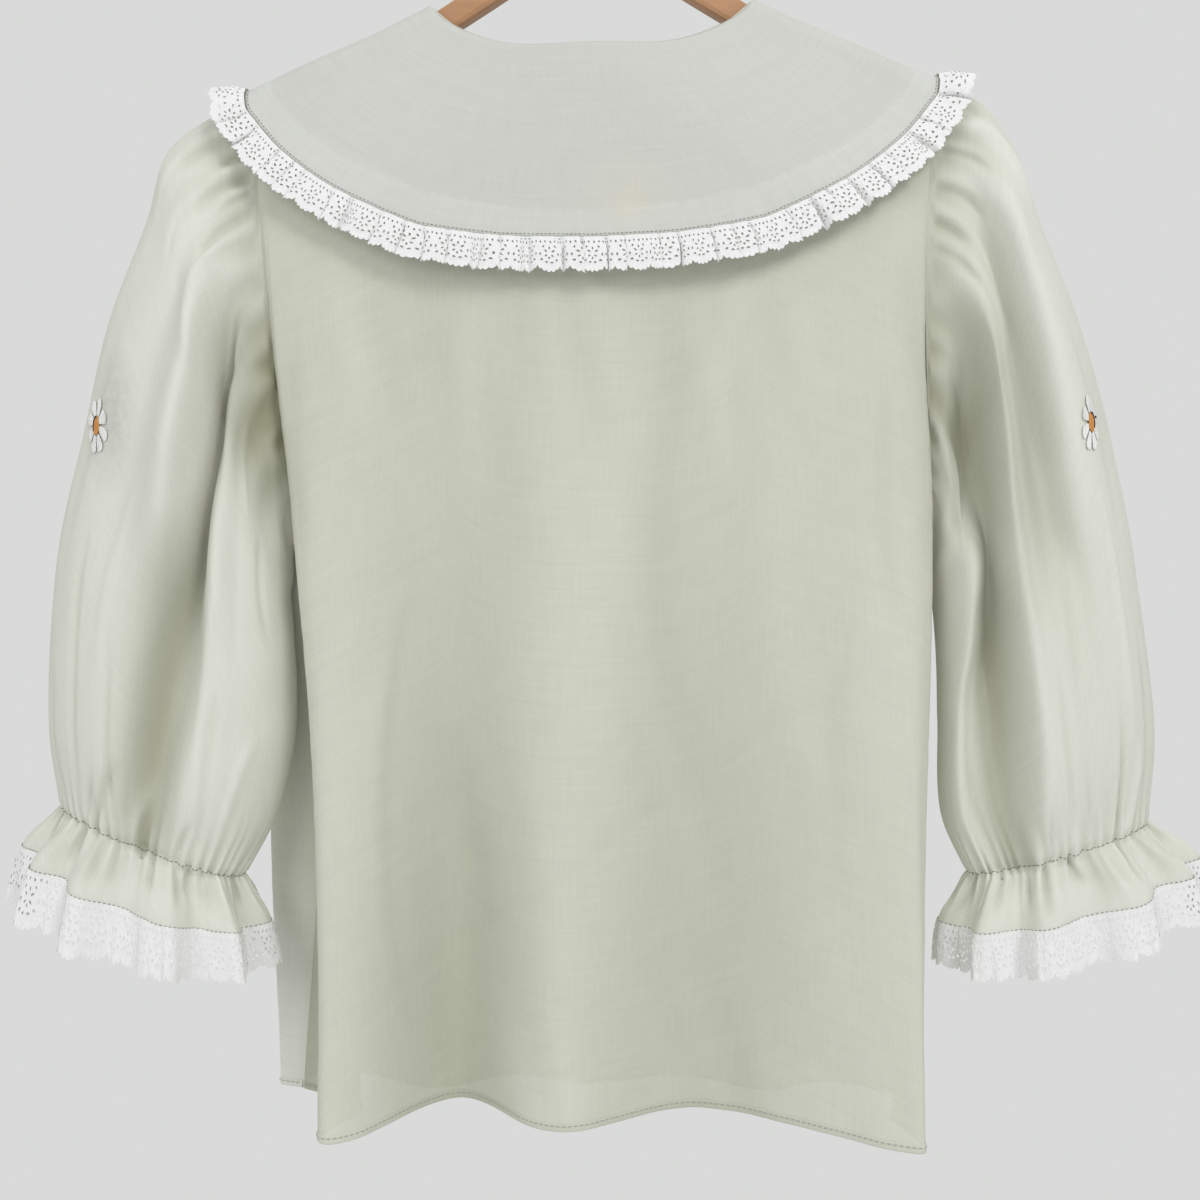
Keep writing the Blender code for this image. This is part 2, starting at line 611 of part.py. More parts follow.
def frill_points(side, down, angle):
    """Points of the frill and its lace, from the elastic (0) over the frill's edge (1)."""
    table = np.array([row[1:] for row in (FRILL_LEFT if side < 0 else FRILL_RIGHT)], float)
    line = smooth(FRILL_STEPS, table, down)[:, None, :]
    share = (1 - np.cos(angle)) / 2
    wave = np.cos(np.arange(angle.shape[1]) * 2 * math.pi / GATHER_COLUMNS)
    swell = line[..., 6] * wave
    middle_x = (line[..., 0] + line[..., 2]) / 2
    x = line[..., 0] + (line[..., 2] - line[..., 0]) * share
    x += swell * (x - middle_x) / np.abs(line[..., 0] - middle_x)
    z = line[..., 1] + (line[..., 3] - line[..., 1]) * share - line[..., 5] * np.sin(angle)
    y = SLEEVE_MIDDLE_DEPTH - (line[..., 4] + swell) * np.sin(angle)
    return np.stack([x, y, z], axis=-1)


def wall_outside(grid, side):
    """Turns a ring's columns so that its wall lies outside its points, on either side."""
    return grid if side > 0 else grid[:, ::-1]


def make_sleeve(side, word, look, lace_look):
    """A sleeve with its frill, cut as one, and the lace on the frill's edge."""
    rows = np.array(SLEEVE_ROWS)
    angles = ring_angles(rows)
    upper = sleeve_points(side, rows, angles)
    even = ring_angles(np.ones(len(FRILL_ROWS)))
    frill = frill_points(side, np.array(FRILL_ROWS), even)
    whole = wall_outside(np.concatenate([upper, frill]), side)
    cloth(f"sleeve_{word}", whole, CLOTH, look, ring=True)
    even = ring_angles(np.ones(len(CUFF_LACE_ROWS)))
    lace = frill_points(side, np.array(CUFF_LACE_ROWS), even)
    cloth(f"cuff_lace_{word}", wall_outside(lace, side), LACE, lace_look, ring=True)


def sleeve_place(side, down, angle):
    """One point of the plain sleeve, for what lies on it."""
    down = np.asarray(down, float)
    angle = np.asarray(angle, float)
    rows = [sleeve_points(side, d, a)[:, 0] for d, a in
            zip(down.reshape(-1, 1), angle.reshape(-1, 1, 1))]
    return np.array(rows).reshape(down.shape + (3,))


def make_disc(name, side, place, rim, lift, thickness, look):
    """A flat patch on the sleeve: rim gives its radius in each direction, and lift how far
    its lower face stands off the sleeve's points."""
    count = len(rim)
    small = 0.002
    centre_down, centre_angle = place
    middle = sleeve_place(side, centre_down, centre_angle)
    step_down = (sleeve_place(side, centre_down + small, centre_angle) - middle) / small
    step_round = (sleeve_place(side, centre_down, centre_angle + small) - middle) / small
    turn = np.arange(count) * 2 * math.pi / count
    shares = np.array([0.5, 1.0])[:, None]
    along = shares * rim[None] * np.cos(turn)[None]
    around = shares * rim[None] * np.sin(turn)[None]
    down = centre_down + along / np.linalg.norm(step_down)
    angle = centre_angle + around / np.linalg.norm(step_round)
    points = sleeve_place(side, down, angle)
    right = sleeve_place(side, down, angle + small) - points
    below = sleeve_place(side, down + small, angle) - points
    normal = np.cross(right, below) * side
    normal /= np.linalg.norm(normal, axis=-1, keepdims=True)
    hub = np.cross(step_round, step_down) * side
    hub /= np.linalg.norm(hub)
    points = points + normal * (lift + thickness)
    centre = middle + hub * (lift + thickness)
    vertices = np.concatenate([[centre], points.reshape(-1, 3)])
    faces = []
    for c in range(count):
        near = (c + 1) % count
        faces.append((0, 1 + c, 1 + near))
        for r in range(len(shares) - 1):
            a, b = 1 + r * count, 1 + (r + 1) * count
            faces.append((a + c, b + c, b + near, a + near))
    if side > 0:
        faces = [face[::-1] for face in faces]
    thicken(mesh_object(name, vertices, faces, look), thickness)


def make_daisy(side, word, place, petal_look, eye_look):
    """White petals round a yolk-coloured eye, worked on the cloth."""
    count = DAISY_PETALS * 4
    turn = np.arange(count) * 2 * math.pi / count
    petals = DAISY_RADIUS * (1 - DAISY_NOTCH + DAISY_NOTCH * np.cos(turn * DAISY_PETALS))
    lift = CLOTH + DAISY_EASE
    make_disc(f"daisy_petals_{word}", side, place, petals, lift, DAISY_THICK, petal_look)
    eye = np.full(DAISY_EYE_SIDES, float(DAISY_EYE_RADIUS))
    lift += SEAM + DAISY_THICK
    make_disc(f"daisy_eye_{word}", side, place, eye, lift, DAISY_THICK, eye_look)


def make_hanger(look):
    """The board: its outline from the side, extruded through its thickness."""
    x = np.linspace(-HANGER_HALF, HANGER_HALF, HANGER_COLUMNS)
    far = np.abs(x) / HANGER_HALF
    top = shoulder_height(x) - HANGER_EASE
    height = HANGER_HEIGHT + (HANGER_END_HEIGHT - HANGER_HEIGHT) * far
    into_end = np.clip((far - 1 + HANGER_END_ROUND) / HANGER_END_ROUND, 0, 0.92)
    end_round = np.sqrt(1 - into_end**2)
    middle = top - height / 2
    upper = np.stack([x, np.full_like(x, -HANGER_THICK / 2), middle + height / 2 * end_round], 1)
    lower = np.stack([x, np.full_like(x, -HANGER_THICK / 2), middle - height / 2 * end_round], 1)
    count = len(x)
    faces = [(i, count + i, count + i + 1, i + 1) for i in range(count - 1)]
    board = mesh_object("hanger", np.concatenate([upper, lower]), faces, look)
    thicken(board, HANGER_THICK)
    edge = board.modifiers.new("rounded edges", "BEVEL")
    edge.width = HANGER_EDGE * MM
    edge.segments = 2
    edge.limit_method = "ANGLE"
    edge.angle_limit = math.radians(50)


def make_hook(look):
    """The wire hook: a stem, a sweep to one side and most of a circle."""
    radius = HOOK_INSIDE_RADIUS + HOOK_WIRE_RADIUS
    centre = -HOOK_INSIDE_RADIUS
    foot = float(shoulder_height(0)) - HANGER_EASE - HOOK_FOOT_SINK
    turn = np.radians(np.linspace(HOOK_OPENS_AT, HOOK_ENDS_AT, HOOK_STEPS))
    arc = np.stack([radius * np.cos(turn), centre + radius * np.sin(turn)], axis=1)
    blend = np.linspace(0, 1, SWEEP_STEPS)[:-1, None]
    stem_top = np.array([0, HOOK_STEM_BEND])
    corner = arc[0] - np.array([-math.sin(turn[0]), math.cos(turn[0])]) * HOOK_SWEEP
    sweep = stem_top * (1 - blend) ** 2 + 2 * corner * blend * (1 - blend) + arc[0] * blend**2
    path = np.concatenate([[[0, foot]], sweep, arc])
    curve = bpy.data.curves.new("hanger_hook", "CURVE")
    curve.dimensions = "3D"
    curve.bevel_depth = HOOK_WIRE_RADIUS * MM
    curve.bevel_resolution = 2
    curve.use_fill_caps = True
    spline = curve.splines.new("POLY")
    spline.points.add(len(path) - 1)
    for point, (x, z) in zip(spline.points, path):
        point.co = (x * MM, 0, z * MM, 1)
    curve.materials.append(look)
    made = bpy.data.objects.new("hanger_hook", curve)
    bpy.context.collection.objects.link(made)


def build():
    clear_scene()
    cotton = material("mint_cotton", (0.78, 0.84, 0.76), 0.85)
    collar_cotton = material("pale_mint_cotton", (0.82, 0.86, 0.81), 0.85)
    lace = material("white_lace", (0.93, 0.93, 0.93), 0.9)
    shell = material("pale_button", (0.85, 0.87, 0.82), 0.35)
    petal = material("white_thread", (0.95, 0.95, 0.93), 0.55)
    yolk = material("yolk_thread", (0.85, 0.42, 0.04), 0.55)
    wood = material("beech", (0.72, 0.45, 0.26), 0.45)
    steel = material("steel", (0.7, 0.7, 0.7), 0.25, 1.0)
    make_back(cotton)
    make_fronts(cotton)
    make_band(cotton)
    make_buttons(shell)
    make_collar(collar_cotton)
    make_collar_lace(lace)
    for side, word, place in ((-1, "left", DAISY_LEFT), (1, "right", DAISY_RIGHT)):
        make_sleeve(side, word, cotton, lace)
        make_daisy(side, word, place, petal, yolk)
    make_hanger(wood)
    make_hook(steel)


build()
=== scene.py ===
import math

import bpy
import numpy as np
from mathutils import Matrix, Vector, geometry


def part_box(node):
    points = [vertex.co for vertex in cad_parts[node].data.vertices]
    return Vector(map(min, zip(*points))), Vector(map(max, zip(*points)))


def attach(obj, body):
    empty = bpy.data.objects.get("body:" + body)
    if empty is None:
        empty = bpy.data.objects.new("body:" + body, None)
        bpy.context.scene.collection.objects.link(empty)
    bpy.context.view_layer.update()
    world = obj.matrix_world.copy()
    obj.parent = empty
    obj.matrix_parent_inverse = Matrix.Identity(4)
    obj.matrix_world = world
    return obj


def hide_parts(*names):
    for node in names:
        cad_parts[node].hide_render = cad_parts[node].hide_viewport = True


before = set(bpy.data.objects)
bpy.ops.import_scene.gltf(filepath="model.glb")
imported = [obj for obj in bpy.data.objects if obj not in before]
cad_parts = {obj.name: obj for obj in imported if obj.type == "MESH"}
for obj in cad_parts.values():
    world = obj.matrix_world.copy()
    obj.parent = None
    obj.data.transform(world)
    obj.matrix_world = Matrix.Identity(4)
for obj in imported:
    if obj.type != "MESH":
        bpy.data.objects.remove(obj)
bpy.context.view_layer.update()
print("frame loaded")

# All shapes below are worked out in millimetres, with the inside top of the hook at the origin,
# the blouse's back towards -Y and the wearer's left towards -X.
millimetre = 0.001


# Smooth tools

def smooth(knots, values, at):
    # a cubic curve through the values at the knots, with the slope at each knot taken from its
    # neighbours, read at every place in at
    knots = np.asarray(knots, float)
    values = np.asarray(values, float)
    at = np.clip(np.asarray(at, float), knots[0], knots[-1])
    slopes = np.gradient(values, knots, axis=0)
    cell = np.clip(np.searchsorted(knots, at, side="right") - 1, 0, len(knots) - 2)
    width = knots[cell + 1] - knots[cell]
    t = (at - knots[cell]) / width
    spare = (1,) * (values.ndim - 1)
    t = t.reshape(t.shape + spare)
    width = width.reshape(width.shape + spare)
    return ((2 * t**3 - 3 * t**2 + 1) * values[cell] + (t**3 - 2 * t**2 + t) * width * slopes[cell]
            + (3 * t**2 - 2 * t**3) * values[cell + 1] + (t**3 - t**2) * width * slopes[cell + 1])


def ease(x):
    # from 0 to 1, level at both ends
    x = np.clip(x, 0, 1)
    return x * x * (3 - 2 * x)


def rise(x, start, end):
    # the same between start and end
    return ease((x - start) / (end - start))


def ripple(place, seed, shortest, longest, count=6):
    # gentle unevenness between about -1 and 1: the sum of sine waves of several lengths whose
    # phases come from a seeded draw
    random = np.random.default_rng(seed)
    lengths = np.geomspace(shortest, longest, count)
    phases = random.uniform(0, 2 * math.pi, count)
    total = np.zeros(np.shape(place))
    for length, phase in zip(lengths, phases):
        total = total + np.sin(2 * math.pi * np.asarray(place) / length + phase)
    return total / math.sqrt(2 * count)


def creaseHeight(a, b, creases):
    # soft creases: each row is a line from (a0, b0) to (a1, b1), a half width and a height; the
    # height is a bell across the line that fades out at both of its ends
    total = np.zeros(np.broadcast(a, b).shape)
    for a0, b0, a1, b1, width, height in creases:
        da, db = a1 - a0, b1 - b0
        long = math.hypot(da, db)
        t = ((a - a0) * da + (b - b0) * db) / long**2
        bow = 0.06 * long * np.sin(math.pi * np.clip(t, 0, 1))
        off = ((a - a0) * db - (b - b0) * da) / long - bow
        total += height * np.exp(-(off / width)**2) * rise(t, 0, 0.3) * (1 - rise(t, 0.6, 1))
    return total


def gridNormals(points, ring=False):
    # the outward direction at each grid point: the cross product of the steps down and across
    down = np.gradient(points, axis=0)
    if ring:
        across = (np.roll(points, -1, axis=1) - np.roll(points, 1, axis=1)) / 2
    else:
        across = np.gradient(points, axis=1)
    normal = np.cross(down, across)
    return normal / np.maximum(np.linalg.norm(normal, axis=-1, keepdims=True), 1e-9)


# Mesh tools

def meshObject(name, points, faces, look, uv=None, tone=None):
    # points in millimetres, faces all of one length, one uv pair in metres for each corner, and
    # how much each point lies in the cloth's own shade
    sides = faces.shape[1]
    mesh = bpy.data.meshes.new(name)
    mesh.vertices.add(len(points))
    mesh.vertices.foreach_set("co", (np.asarray(points) * millimetre).astype(np.float32).ravel())
    mesh.loops.add(faces.size)
    mesh.loops.foreach_set("vertex_index", faces.astype(np.int32).ravel())
    mesh.polygons.add(len(faces))
    mesh.polygons.foreach_set("loop_start", np.arange(0, faces.size, sides, dtype=np.int32))
    mesh.polygons.foreach_set("use_smooth", np.ones(len(faces), bool))
    mesh.update(calc_edges=True)
    if uv is not None:
        layer = mesh.uv_layers.new(name="cloth")
        layer.data.foreach_set("uv", uv.astype(np.float32).ravel())
    if tone is not None:
        shadeOf = mesh.attributes.new("tone", "FLOAT", "POINT")
        shadeOf.data.foreach_set("value", np.clip(tone, 0, 1).astype(np.float32).ravel())
    mesh.materials.append(look)
    made = bpy.data.objects.new(name, mesh)
    bpy.context.scene.collection.objects.link(made)
    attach(made, "root")
    return made


def takesPlaceOf(node):
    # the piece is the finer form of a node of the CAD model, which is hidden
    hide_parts(node)


def gridObject(name, points, look, ring=False, turned=False, tone=None):
    # a sheet on a grid of points, rows down and columns across; its uv runs in metres along the
    # cloth, added up from step to step
    rows, columns = points.shape[:2]
    closed = np.concatenate([points, points[:, :1]], axis=1) if ring else points
    stepAcross = np.linalg.norm(np.diff(closed, axis=1), axis=-1)
    stepDown = np.linalg.norm(np.diff(closed, axis=0), axis=-1)
    u = np.concatenate([np.zeros((rows, 1)), np.cumsum(stepAcross, axis=1)], axis=1)
    u = np.broadcast_to(u.mean(axis=0), u.shape)
    v = np.concatenate([np.zeros((1, closed.shape[1])), np.cumsum(stepDown, axis=0)], axis=0)
    flat = np.stack([u, v], axis=-1) * millimetre
    c = np.arange(closed.shape[1] - 1)
    r = np.arange(rows - 1)[:, None]
    corners = [(r, c), (r + 1, c), (r + 1, c + 1), (r, c + 1)]
    faces = np.stack([i * columns + j % columns for i, j in corners], axis=-1).reshape(-1, 4)
    uv = np.stack([flat[i, j] for i, j in corners], axis=2).reshape(-1, 4, 2)
    if turned:
        faces, uv = faces[:, ::-1], uv[:, ::-1]
    return meshObject(name, points.reshape(-1, 3), faces, look, uv.reshape(-1, 2), tone)


def spindles(name, centres, along, up, length, radius, look, flatness=0.8):
    # many short threads as one mesh: each a closed spindle of three rings of five points
    # between two tips, as long and thick as length and radius say
    stations = np.array([-0.7, 0, 0.7])
    turn = np.arange(5) * 2 * math.pi / 5
    side = np.cross(along, up)
    length = np.broadcast_to(length, len(centres))[:, None]
    radius = np.broadcast_to(radius, len(centres))[:, None]
    rings = []
    for station, thick in zip(stations, (0.85, 1, 0.85)):
        for angle in turn:
            rings.append(centres + along * length / 2 * station
                         + side * radius * thick * math.cos(angle)
                         + up * radius * thick * flatness * math.sin(angle))
    tips = [centres - along * length / 2 - up * radius * 0.4,
            centres + along * length / 2 - up * radius * 0.4]
    points = np.stack(rings + tips, axis=1)
    faces = []
    for k in range(5):
        near = (k + 1) % 5
        faces += [(15, near, k), (16, 10 + k, 10 + near)]
        for ring in (0, 5):
            faces += [(ring + k, ring + near, ring + 5 + near),
                      (ring + k, ring + 5 + near, ring + 5 + k)]
    faces = np.array(faces)
    each = np.arange(len(centres))[:, None, None] * 17
    return meshObject(name, points.reshape(-1, 3), (faces[None] + each).reshape(-1, 3), look)


def alongPath(path, normals, spacing):
    # points, directions and normals at even spacing along a path of points
    steps = np.linalg.norm(np.diff(path, axis=0), axis=1)
    place = np.concatenate([[0], np.cumsum(steps)])
    at = np.arange(spacing / 2, place[-1], spacing)
    ahead = np.gradient(path, axis=0)
    read = [np.stack([np.interp(at, place, v) for v in values.T], axis=1)
            for values in (path, ahead, normals)]
    for direction in read[1:]:
        direction /= np.linalg.norm(direction, axis=1, keepdims=True)
    return read


def stitchRow(name, path, up, row, look):
    # stitches of one length with gaps between them, along a path
    centres, ahead, up = alongPath(path, up, row["stitch"] + row["gap"])
    made = spindles(name, centres, ahead, up, row["stitch"], row["thread"], look)
    return made


# Materials

def startMaterial(name, roughness, metallic=0.0):
    made = bpy.data.materials.new(name)
    made.use_nodes = True
    shader = made.node_tree.nodes["Principled BSDF"]
    shader.inputs["Roughness"].default_value = roughness
    shader.inputs["Metallic"].default_value = metallic
    return made, made.node_tree, shader


def stretchedNoise(tree, source, scale, detail=2.0, seed=0.0):
    # noise whose grains are as long in each direction as one over scale, in metres
    mapping = tree.nodes.new("ShaderNodeMapping")
    mapping.inputs["Scale"].default_value = scale
    mapping.inputs["Location"].default_value = (seed, seed * 0.7, 0)
    noise = tree.nodes.new("ShaderNodeTexNoise")
    noise.inputs["Scale"].default_value = 1.0
    noise.inputs["Detail"].default_value = detail
    tree.links.new(source, mapping.inputs["Vector"])
    tree.links.new(mapping.outputs["Vector"], noise.inputs["Vector"])
    return noise.outputs["Fac"]


def mathNode(tree, operation, first, second):
    node = tree.nodes.new("ShaderNodeMath")
    node.operation = operation
    for socket, value in zip(node.inputs, (first, second)):
        if isinstance(value, (int, float)):
            socket.default_value = value
        else:
            tree.links.new(value, socket)
    return node.outputs[0]


def mixColours(tree, factor, first, second, blend="MIX"):
    node = tree.nodes.new("ShaderNodeMix")
    node.data_type = "RGBA"
    node.blend_type = blend
    tree.links.new(factor, node.inputs[0])
    for socket, value in ((node.inputs[6], first), (node.inputs[7], second)):
        if isinstance(value, tuple):
            socket.default_value = (*value, 1)
        else:
            tree.links.new(value, socket)
    return node.outputs[2]


def addBump(tree, shader, height, strength, distance):
    bump = tree.nodes.new("ShaderNodeBump")
    bump.inputs["Strength"].default_value = strength
    bump.inputs["Distance"].default_value = distance
    tree.links.new(height, bump.inputs["Height"])
    tree.links.new(bump.outputs["Normal"], shader.inputs["Normal"])


def objectPlace(tree):
    return tree.nodes.new("ShaderNodeTexCoord").outputs["Object"]


voileLook = {
    "colour": (0.675, 0.678, 0.582),    # pale mint, greyish
    "dark": 0.95,                       # the colour's share in thick threads and thin ones
    "light": 1.045,
    "sheer": 0.93,                      # alpha of one layer
    "roughness": 0.88,
    "warp": (620, 34, 1),               # grains to a metre, across and along
    "weft": (28, 560, 1),
    "slub": (9, 240, 1),
    "patch": (7, 5, 1),
    "inShade": (0.45, 0.455, 0.345),    # painted shade: what the colour is multiplied by deep in a fold
    "relief": 0.00022,                  # how far the threads stand out, in metres
}

# a faint grey patch on the left sleeve and a faint yellow one on the collar
greyPatch = {"place": (-0.2727, -0.015, -0.365), "size": (0.020, 0.06, 0.046), "grain": 190,
          "strength": 0.40, "colour": (0.36, 0.37, 0.36)}
yellowing = {"place": (0.019, -0.03, -0.240), "size": (0.034, 0.06, 0.030), "grain": 60,
             "strength": 0.30, "colour": (0.72, 0.68, 0.52)}


def shade(colour, share):
    return tuple(min(1.0, c * share) for c in colour)


def blotchMask(tree, place, size, grain):
    # a soft broken patch: one less the distance from its middle, counted in its own sizes,
    # times noise
    where = objectPlace(tree)
    mapping = tree.nodes.new("ShaderNodeMapping")
    mapping.vector_type = "POINT"
    mapping.inputs["Location"].default_value = [-p / s for p, s in zip(place, size)]
    mapping.inputs["Scale"].default_value = [1 / s for s in size]
    tree.links.new(where, mapping.inputs["Vector"])
    distance = tree.nodes.new("ShaderNodeVectorMath")
    distance.operation = "LENGTH"
    tree.links.new(mapping.outputs["Vector"], distance.inputs[0])
    near = mathNode(tree, "MAXIMUM", mathNode(tree, "SUBTRACT", 1.0, distance.outputs["Value"]), 0.0)
    broken = stretchedNoise(tree, where, (grain, grain, grain), 3.0, 2.0)
    return mathNode(tree, "MULTIPLY", near, mathNode(tree, "MULTIPLY", broken, 2.0))


def makeCotton(name, look, colour=None, sheer=None, seed=0.0, blotch=None):
    # plain-woven cotton: long grains of noise along both threads, thicker slubs here and there
    # and slow patches colour it; the threads raise it, and its tone attribute darkens it with painted
    # shade
    made, tree, shader = startMaterial(name, look["roughness"])
    colour = colour or look["colour"]
    uvMap = tree.nodes.new("ShaderNodeUVMap")
    uvMap.uv_map = "cloth"
    source = uvMap.outputs["UV"]
    warp = stretchedNoise(tree, source, look["warp"], 3.0, seed)
    weft = stretchedNoise(tree, source, look["weft"], 3.0, seed + 3)
    slub = stretchedNoise(tree, source, look["slub"], 1.0, seed + 5)
    patch = stretchedNoise(tree, source, look["patch"], 1.0, seed + 8)
    threads = mathNode(tree, "ADD", warp, weft)
    uneven = mathNode(tree, "ADD", mathNode(tree, "MULTIPLY", slub, 0.5),
                      mathNode(tree, "MULTIPLY", patch, 0.7))
    # the four noises, each about a half, come to 1.6, and less 1.1 that is again a half
    factor = mathNode(tree, "SUBTRACT", mathNode(tree, "ADD", threads, uneven), 1.1)
    mixed = mixColours(tree, factor, shade(colour, look["dark"]), shade(colour, look["light"]))
    # painted shade: the tone attribute multiplies the colour towards inShade
    toned = tree.nodes.new("ShaderNodeAttribute")
    toned.attribute_name = "tone"
    mixed = mixColours(tree, toned.outputs["Fac"], mixed, look["inShade"], "MULTIPLY")
    if blotch:
        mask = blotchMask(tree, blotch["place"], blotch["size"], blotch["grain"])
        share = mathNode(tree, "MULTIPLY", mask, blotch["strength"])
        mixed = mixColours(tree, share, mixed, blotch["colour"])
    tree.links.new(mixed, shader.inputs["Base Color"])
    shader.inputs["Alpha"].default_value = sheer or look["sheer"]
    shader.inputs["Sheen Weight"].default_value = 0.18
    shader.inputs["Sheen Roughness"].default_value = 0.45
    shader.inputs["Specular IOR Level"].default_value = 0.2
    addBump(tree, shader, threads, 0.35, look["relief"])
    return made


def makeGrained(name, colours, roughness, grain, detail, bump, metallic=0.0):
    # noise along the object's own axes mixes two colours and raises the surface; bump is how
    # strongly, and how far in metres
    made, tree, shader = startMaterial(name, roughness, metallic)
    noise = stretchedNoise(tree, objectPlace(tree), grain, detail)
    tree.links.new(mixColours(tree, noise, *colours), shader.inputs["Base Color"])
    addBump(tree, shader, noise, *bump)
    return made, shader


def makeThread(name, colour, roughness=0.6, grain=900):
    # thread: fine noise along its own strands
    colours = shade(colour, 0.8), shade(colour, 1.15)
    made, shader = makeGrained(name, colours, roughness, (grain,) * 3, 3.0, (0.4, 0.0002))
    shader.inputs["Sheen Weight"].default_value = 0.2
    return made


def makeSteel(name):
    # bright wire with fine drawing marks
    colours = (0.55, 0.55, 0.56), (0.8, 0.8, 0.81)
    return makeGrained(name, colours, 0.2, (300, 2500, 300), 2.0, (0.1, 0.0001), 1.0)[0]


def makeShell(name, colour):
    # button: cloudy, slightly glossy
    colours = shade(colour, 0.86), shade(colour, 1.1)
    made, shader = makeGrained(name, colours, 0.28, (220, 90, 260), 2.0, (0.05, 0.0002))
    shader.inputs["Coat Weight"].default_value = 0.4
    return made


def makeWood(name, colour):
    # beech: long grain along the arms, with short dark flecks
    made, tree, shader = startMaterial(name, 0.42)
    where = objectPlace(tree)
    grain = stretchedNoise(tree, where, (9, 160, 130), 4.0)
    flecks = stretchedNoise(tree, where, (60, 900, 900), 1.0, 4.0)
    tone = mathNode(tree, "ADD", mathNode(tree, "MULTIPLY", grain, 0.7),
                    mathNode(tree, "MULTIPLY", flecks, 0.3))
    mixed = mixColours(tree, tone, shade(colour, 0.62), shade(colour, 1.25))
    tree.links.new(mixed, shader.inputs["Base Color"])
    shader.inputs["Coat Weight"].default_value = 0.25
    shader.inputs["Coat Roughness"].default_value = 0.3
    addBump(tree, shader, grain, 0.15, 0.0003)
    return made


# the body's copy is darker than the sleeves', painted shade of the shade inside its two layers; the
# fronts' copy is paler still, painted light on their shaded inside
cotton = makeCotton("mintVoile", voileLook)
frontCotton = makeCotton("mintVoileFront", voileLook, colour=(0.90, 0.905, 0.84), seed=6.0)
sleeveCotton = makeCotton("mintVoileSleeve", voileLook, colour=(0.775, 0.778, 0.70), seed=11.0,
                          blotch=greyPatch)
collarCotton = makeCotton("doubleVoile", voileLook, colour=(0.655, 0.658, 0.622), sheer=0.97,
                          seed=21.0, blotch=yellowing)
laceCotton = makeThread("laceCotton", (0.86, 0.86, 0.855), 0.85, 1300)
seamThread = makeThread("seamThread", (0.36, 0.40, 0.33), 0.7)
shirringThread = makeThread("shirringThread", (0.17, 0.21, 0.13), 0.7)
petalThread = makeThread("petalThread", (0.88, 0.88, 0.85), 0.45)
yolkThread = makeThread("yolkThread", (0.66, 0.27, 0.045), 0.5)
# near-black thread for the daisies' rims and knot, and painted shade in the button holes
darkThreadAndHoleShade = makeThread("darkThreadAndHoleShade", (0.022, 0.012, 0.01), 0.6)
beech = makeWood("beech", (0.50, 0.26, 0.125))
wire = makeSteel("wire")
buttonShell = makeShell("buttonShell", (0.72, 0.76, 0.68))
print("materials made")


# Camera, light and floor

view = {"place": (0.0046, -0.75, -0.468), "lens": 38.4}
light = {
    "backdrop": (0.695, 0.705, 0.695), "air": (0.98, 1.0, 1.0), "airPower": 0.56,
    "aim": (0, 0, -0.45),
    "keyPlace": (1.2, -1.7, 1.0), "keySize": 0.9, "keyPower": 22.5,
    "behindPlace": (0.7, 1.7, 1.5), "behindSize": 1.2, "behindPower": 17.0,
    "fillPlace": (-1.3, -1.8, 0.3), "fillSize": 1.3, "fillPower": 12.5,
}
ground = {"height": -1.45, "half": 1.25, "colour": (0.78, 0.78, 0.77)}


def makeCamera(scene):
    camera = bpy.data.objects.new("camera", bpy.data.cameras.new("camera"))
    camera.data.sensor_width = 36
    camera.data.lens = view["lens"]
    camera.data.clip_start = 0.01
    camera.location = view["place"]
    camera.rotation_euler = (math.pi / 2, 0, 0)
    scene.collection.objects.link(camera)
    scene.camera = camera


def makeAir(scene):
    # the camera sees the pale backdrop; the cloth is lit by a dimmer air of its own
    world = bpy.data.worlds.new("air")
    world.use_nodes = True
    tree = world.node_tree
    air = tree.nodes["Background"]
    air.inputs["Color"].default_value = (*light["air"], 1)
    air.inputs["Strength"].default_value = light["airPower"]
    backdrop = tree.nodes.new("ShaderNodeBackground")
    backdrop.inputs["Color"].default_value = (*light["backdrop"], 1)
    seen = tree.nodes.new("ShaderNodeLightPath")
    mixed = tree.nodes.new("ShaderNodeMixShader")
    tree.links.new(seen.outputs["Is Camera Ray"], mixed.inputs[0])
    tree.links.new(air.outputs[0], mixed.inputs[1])
    tree.links.new(backdrop.outputs[0], mixed.inputs[2])
    tree.links.new(mixed.outputs[0], tree.nodes["World Output"].inputs["Surface"])
    scene.world = world


def makeLamps(scene):
    for name in ("key", "fill", "behind"):
        lamp = bpy.data.lights.new(name, "AREA")
        lamp.size = light[name + "Size"]
        lamp.energy = light[name + "Power"]
        holder = bpy.data.objects.new(name, lamp)
        holder.location = light[name + "Place"]
        holder.visible_camera = False
        aim = Vector(light["aim"]) - Vector(light[name + "Place"])
        holder.rotation_euler = aim.to_track_quat("-Z", "Y").to_euler()
        scene.collection.objects.link(holder)


def makeFloor(scene):
    half, height = ground["half"], ground["height"]
    mesh = bpy.data.meshes.new("floor")
    mesh.from_pydata([(-half, -half, height), (half, -half, height),
                      (half, half, height), (-half, half, height)], [], [(0, 1, 2, 3)])
    paint, _, shader = startMaterial("palePaint", 0.8)
    shader.inputs["Base Color"].default_value = (*ground["colour"], 1)
    mesh.materials.append(paint)
    floor = bpy.data.objects.new("floor", mesh)
    scene.collection.objects.link(floor)


stage = bpy.context.scene
stage.view_settings.view_transform = "Standard"
makeCamera(stage)
makeAir(stage)
makeLamps(stage)
makeFloor(stage)
print("stage set")


# The body's cloth

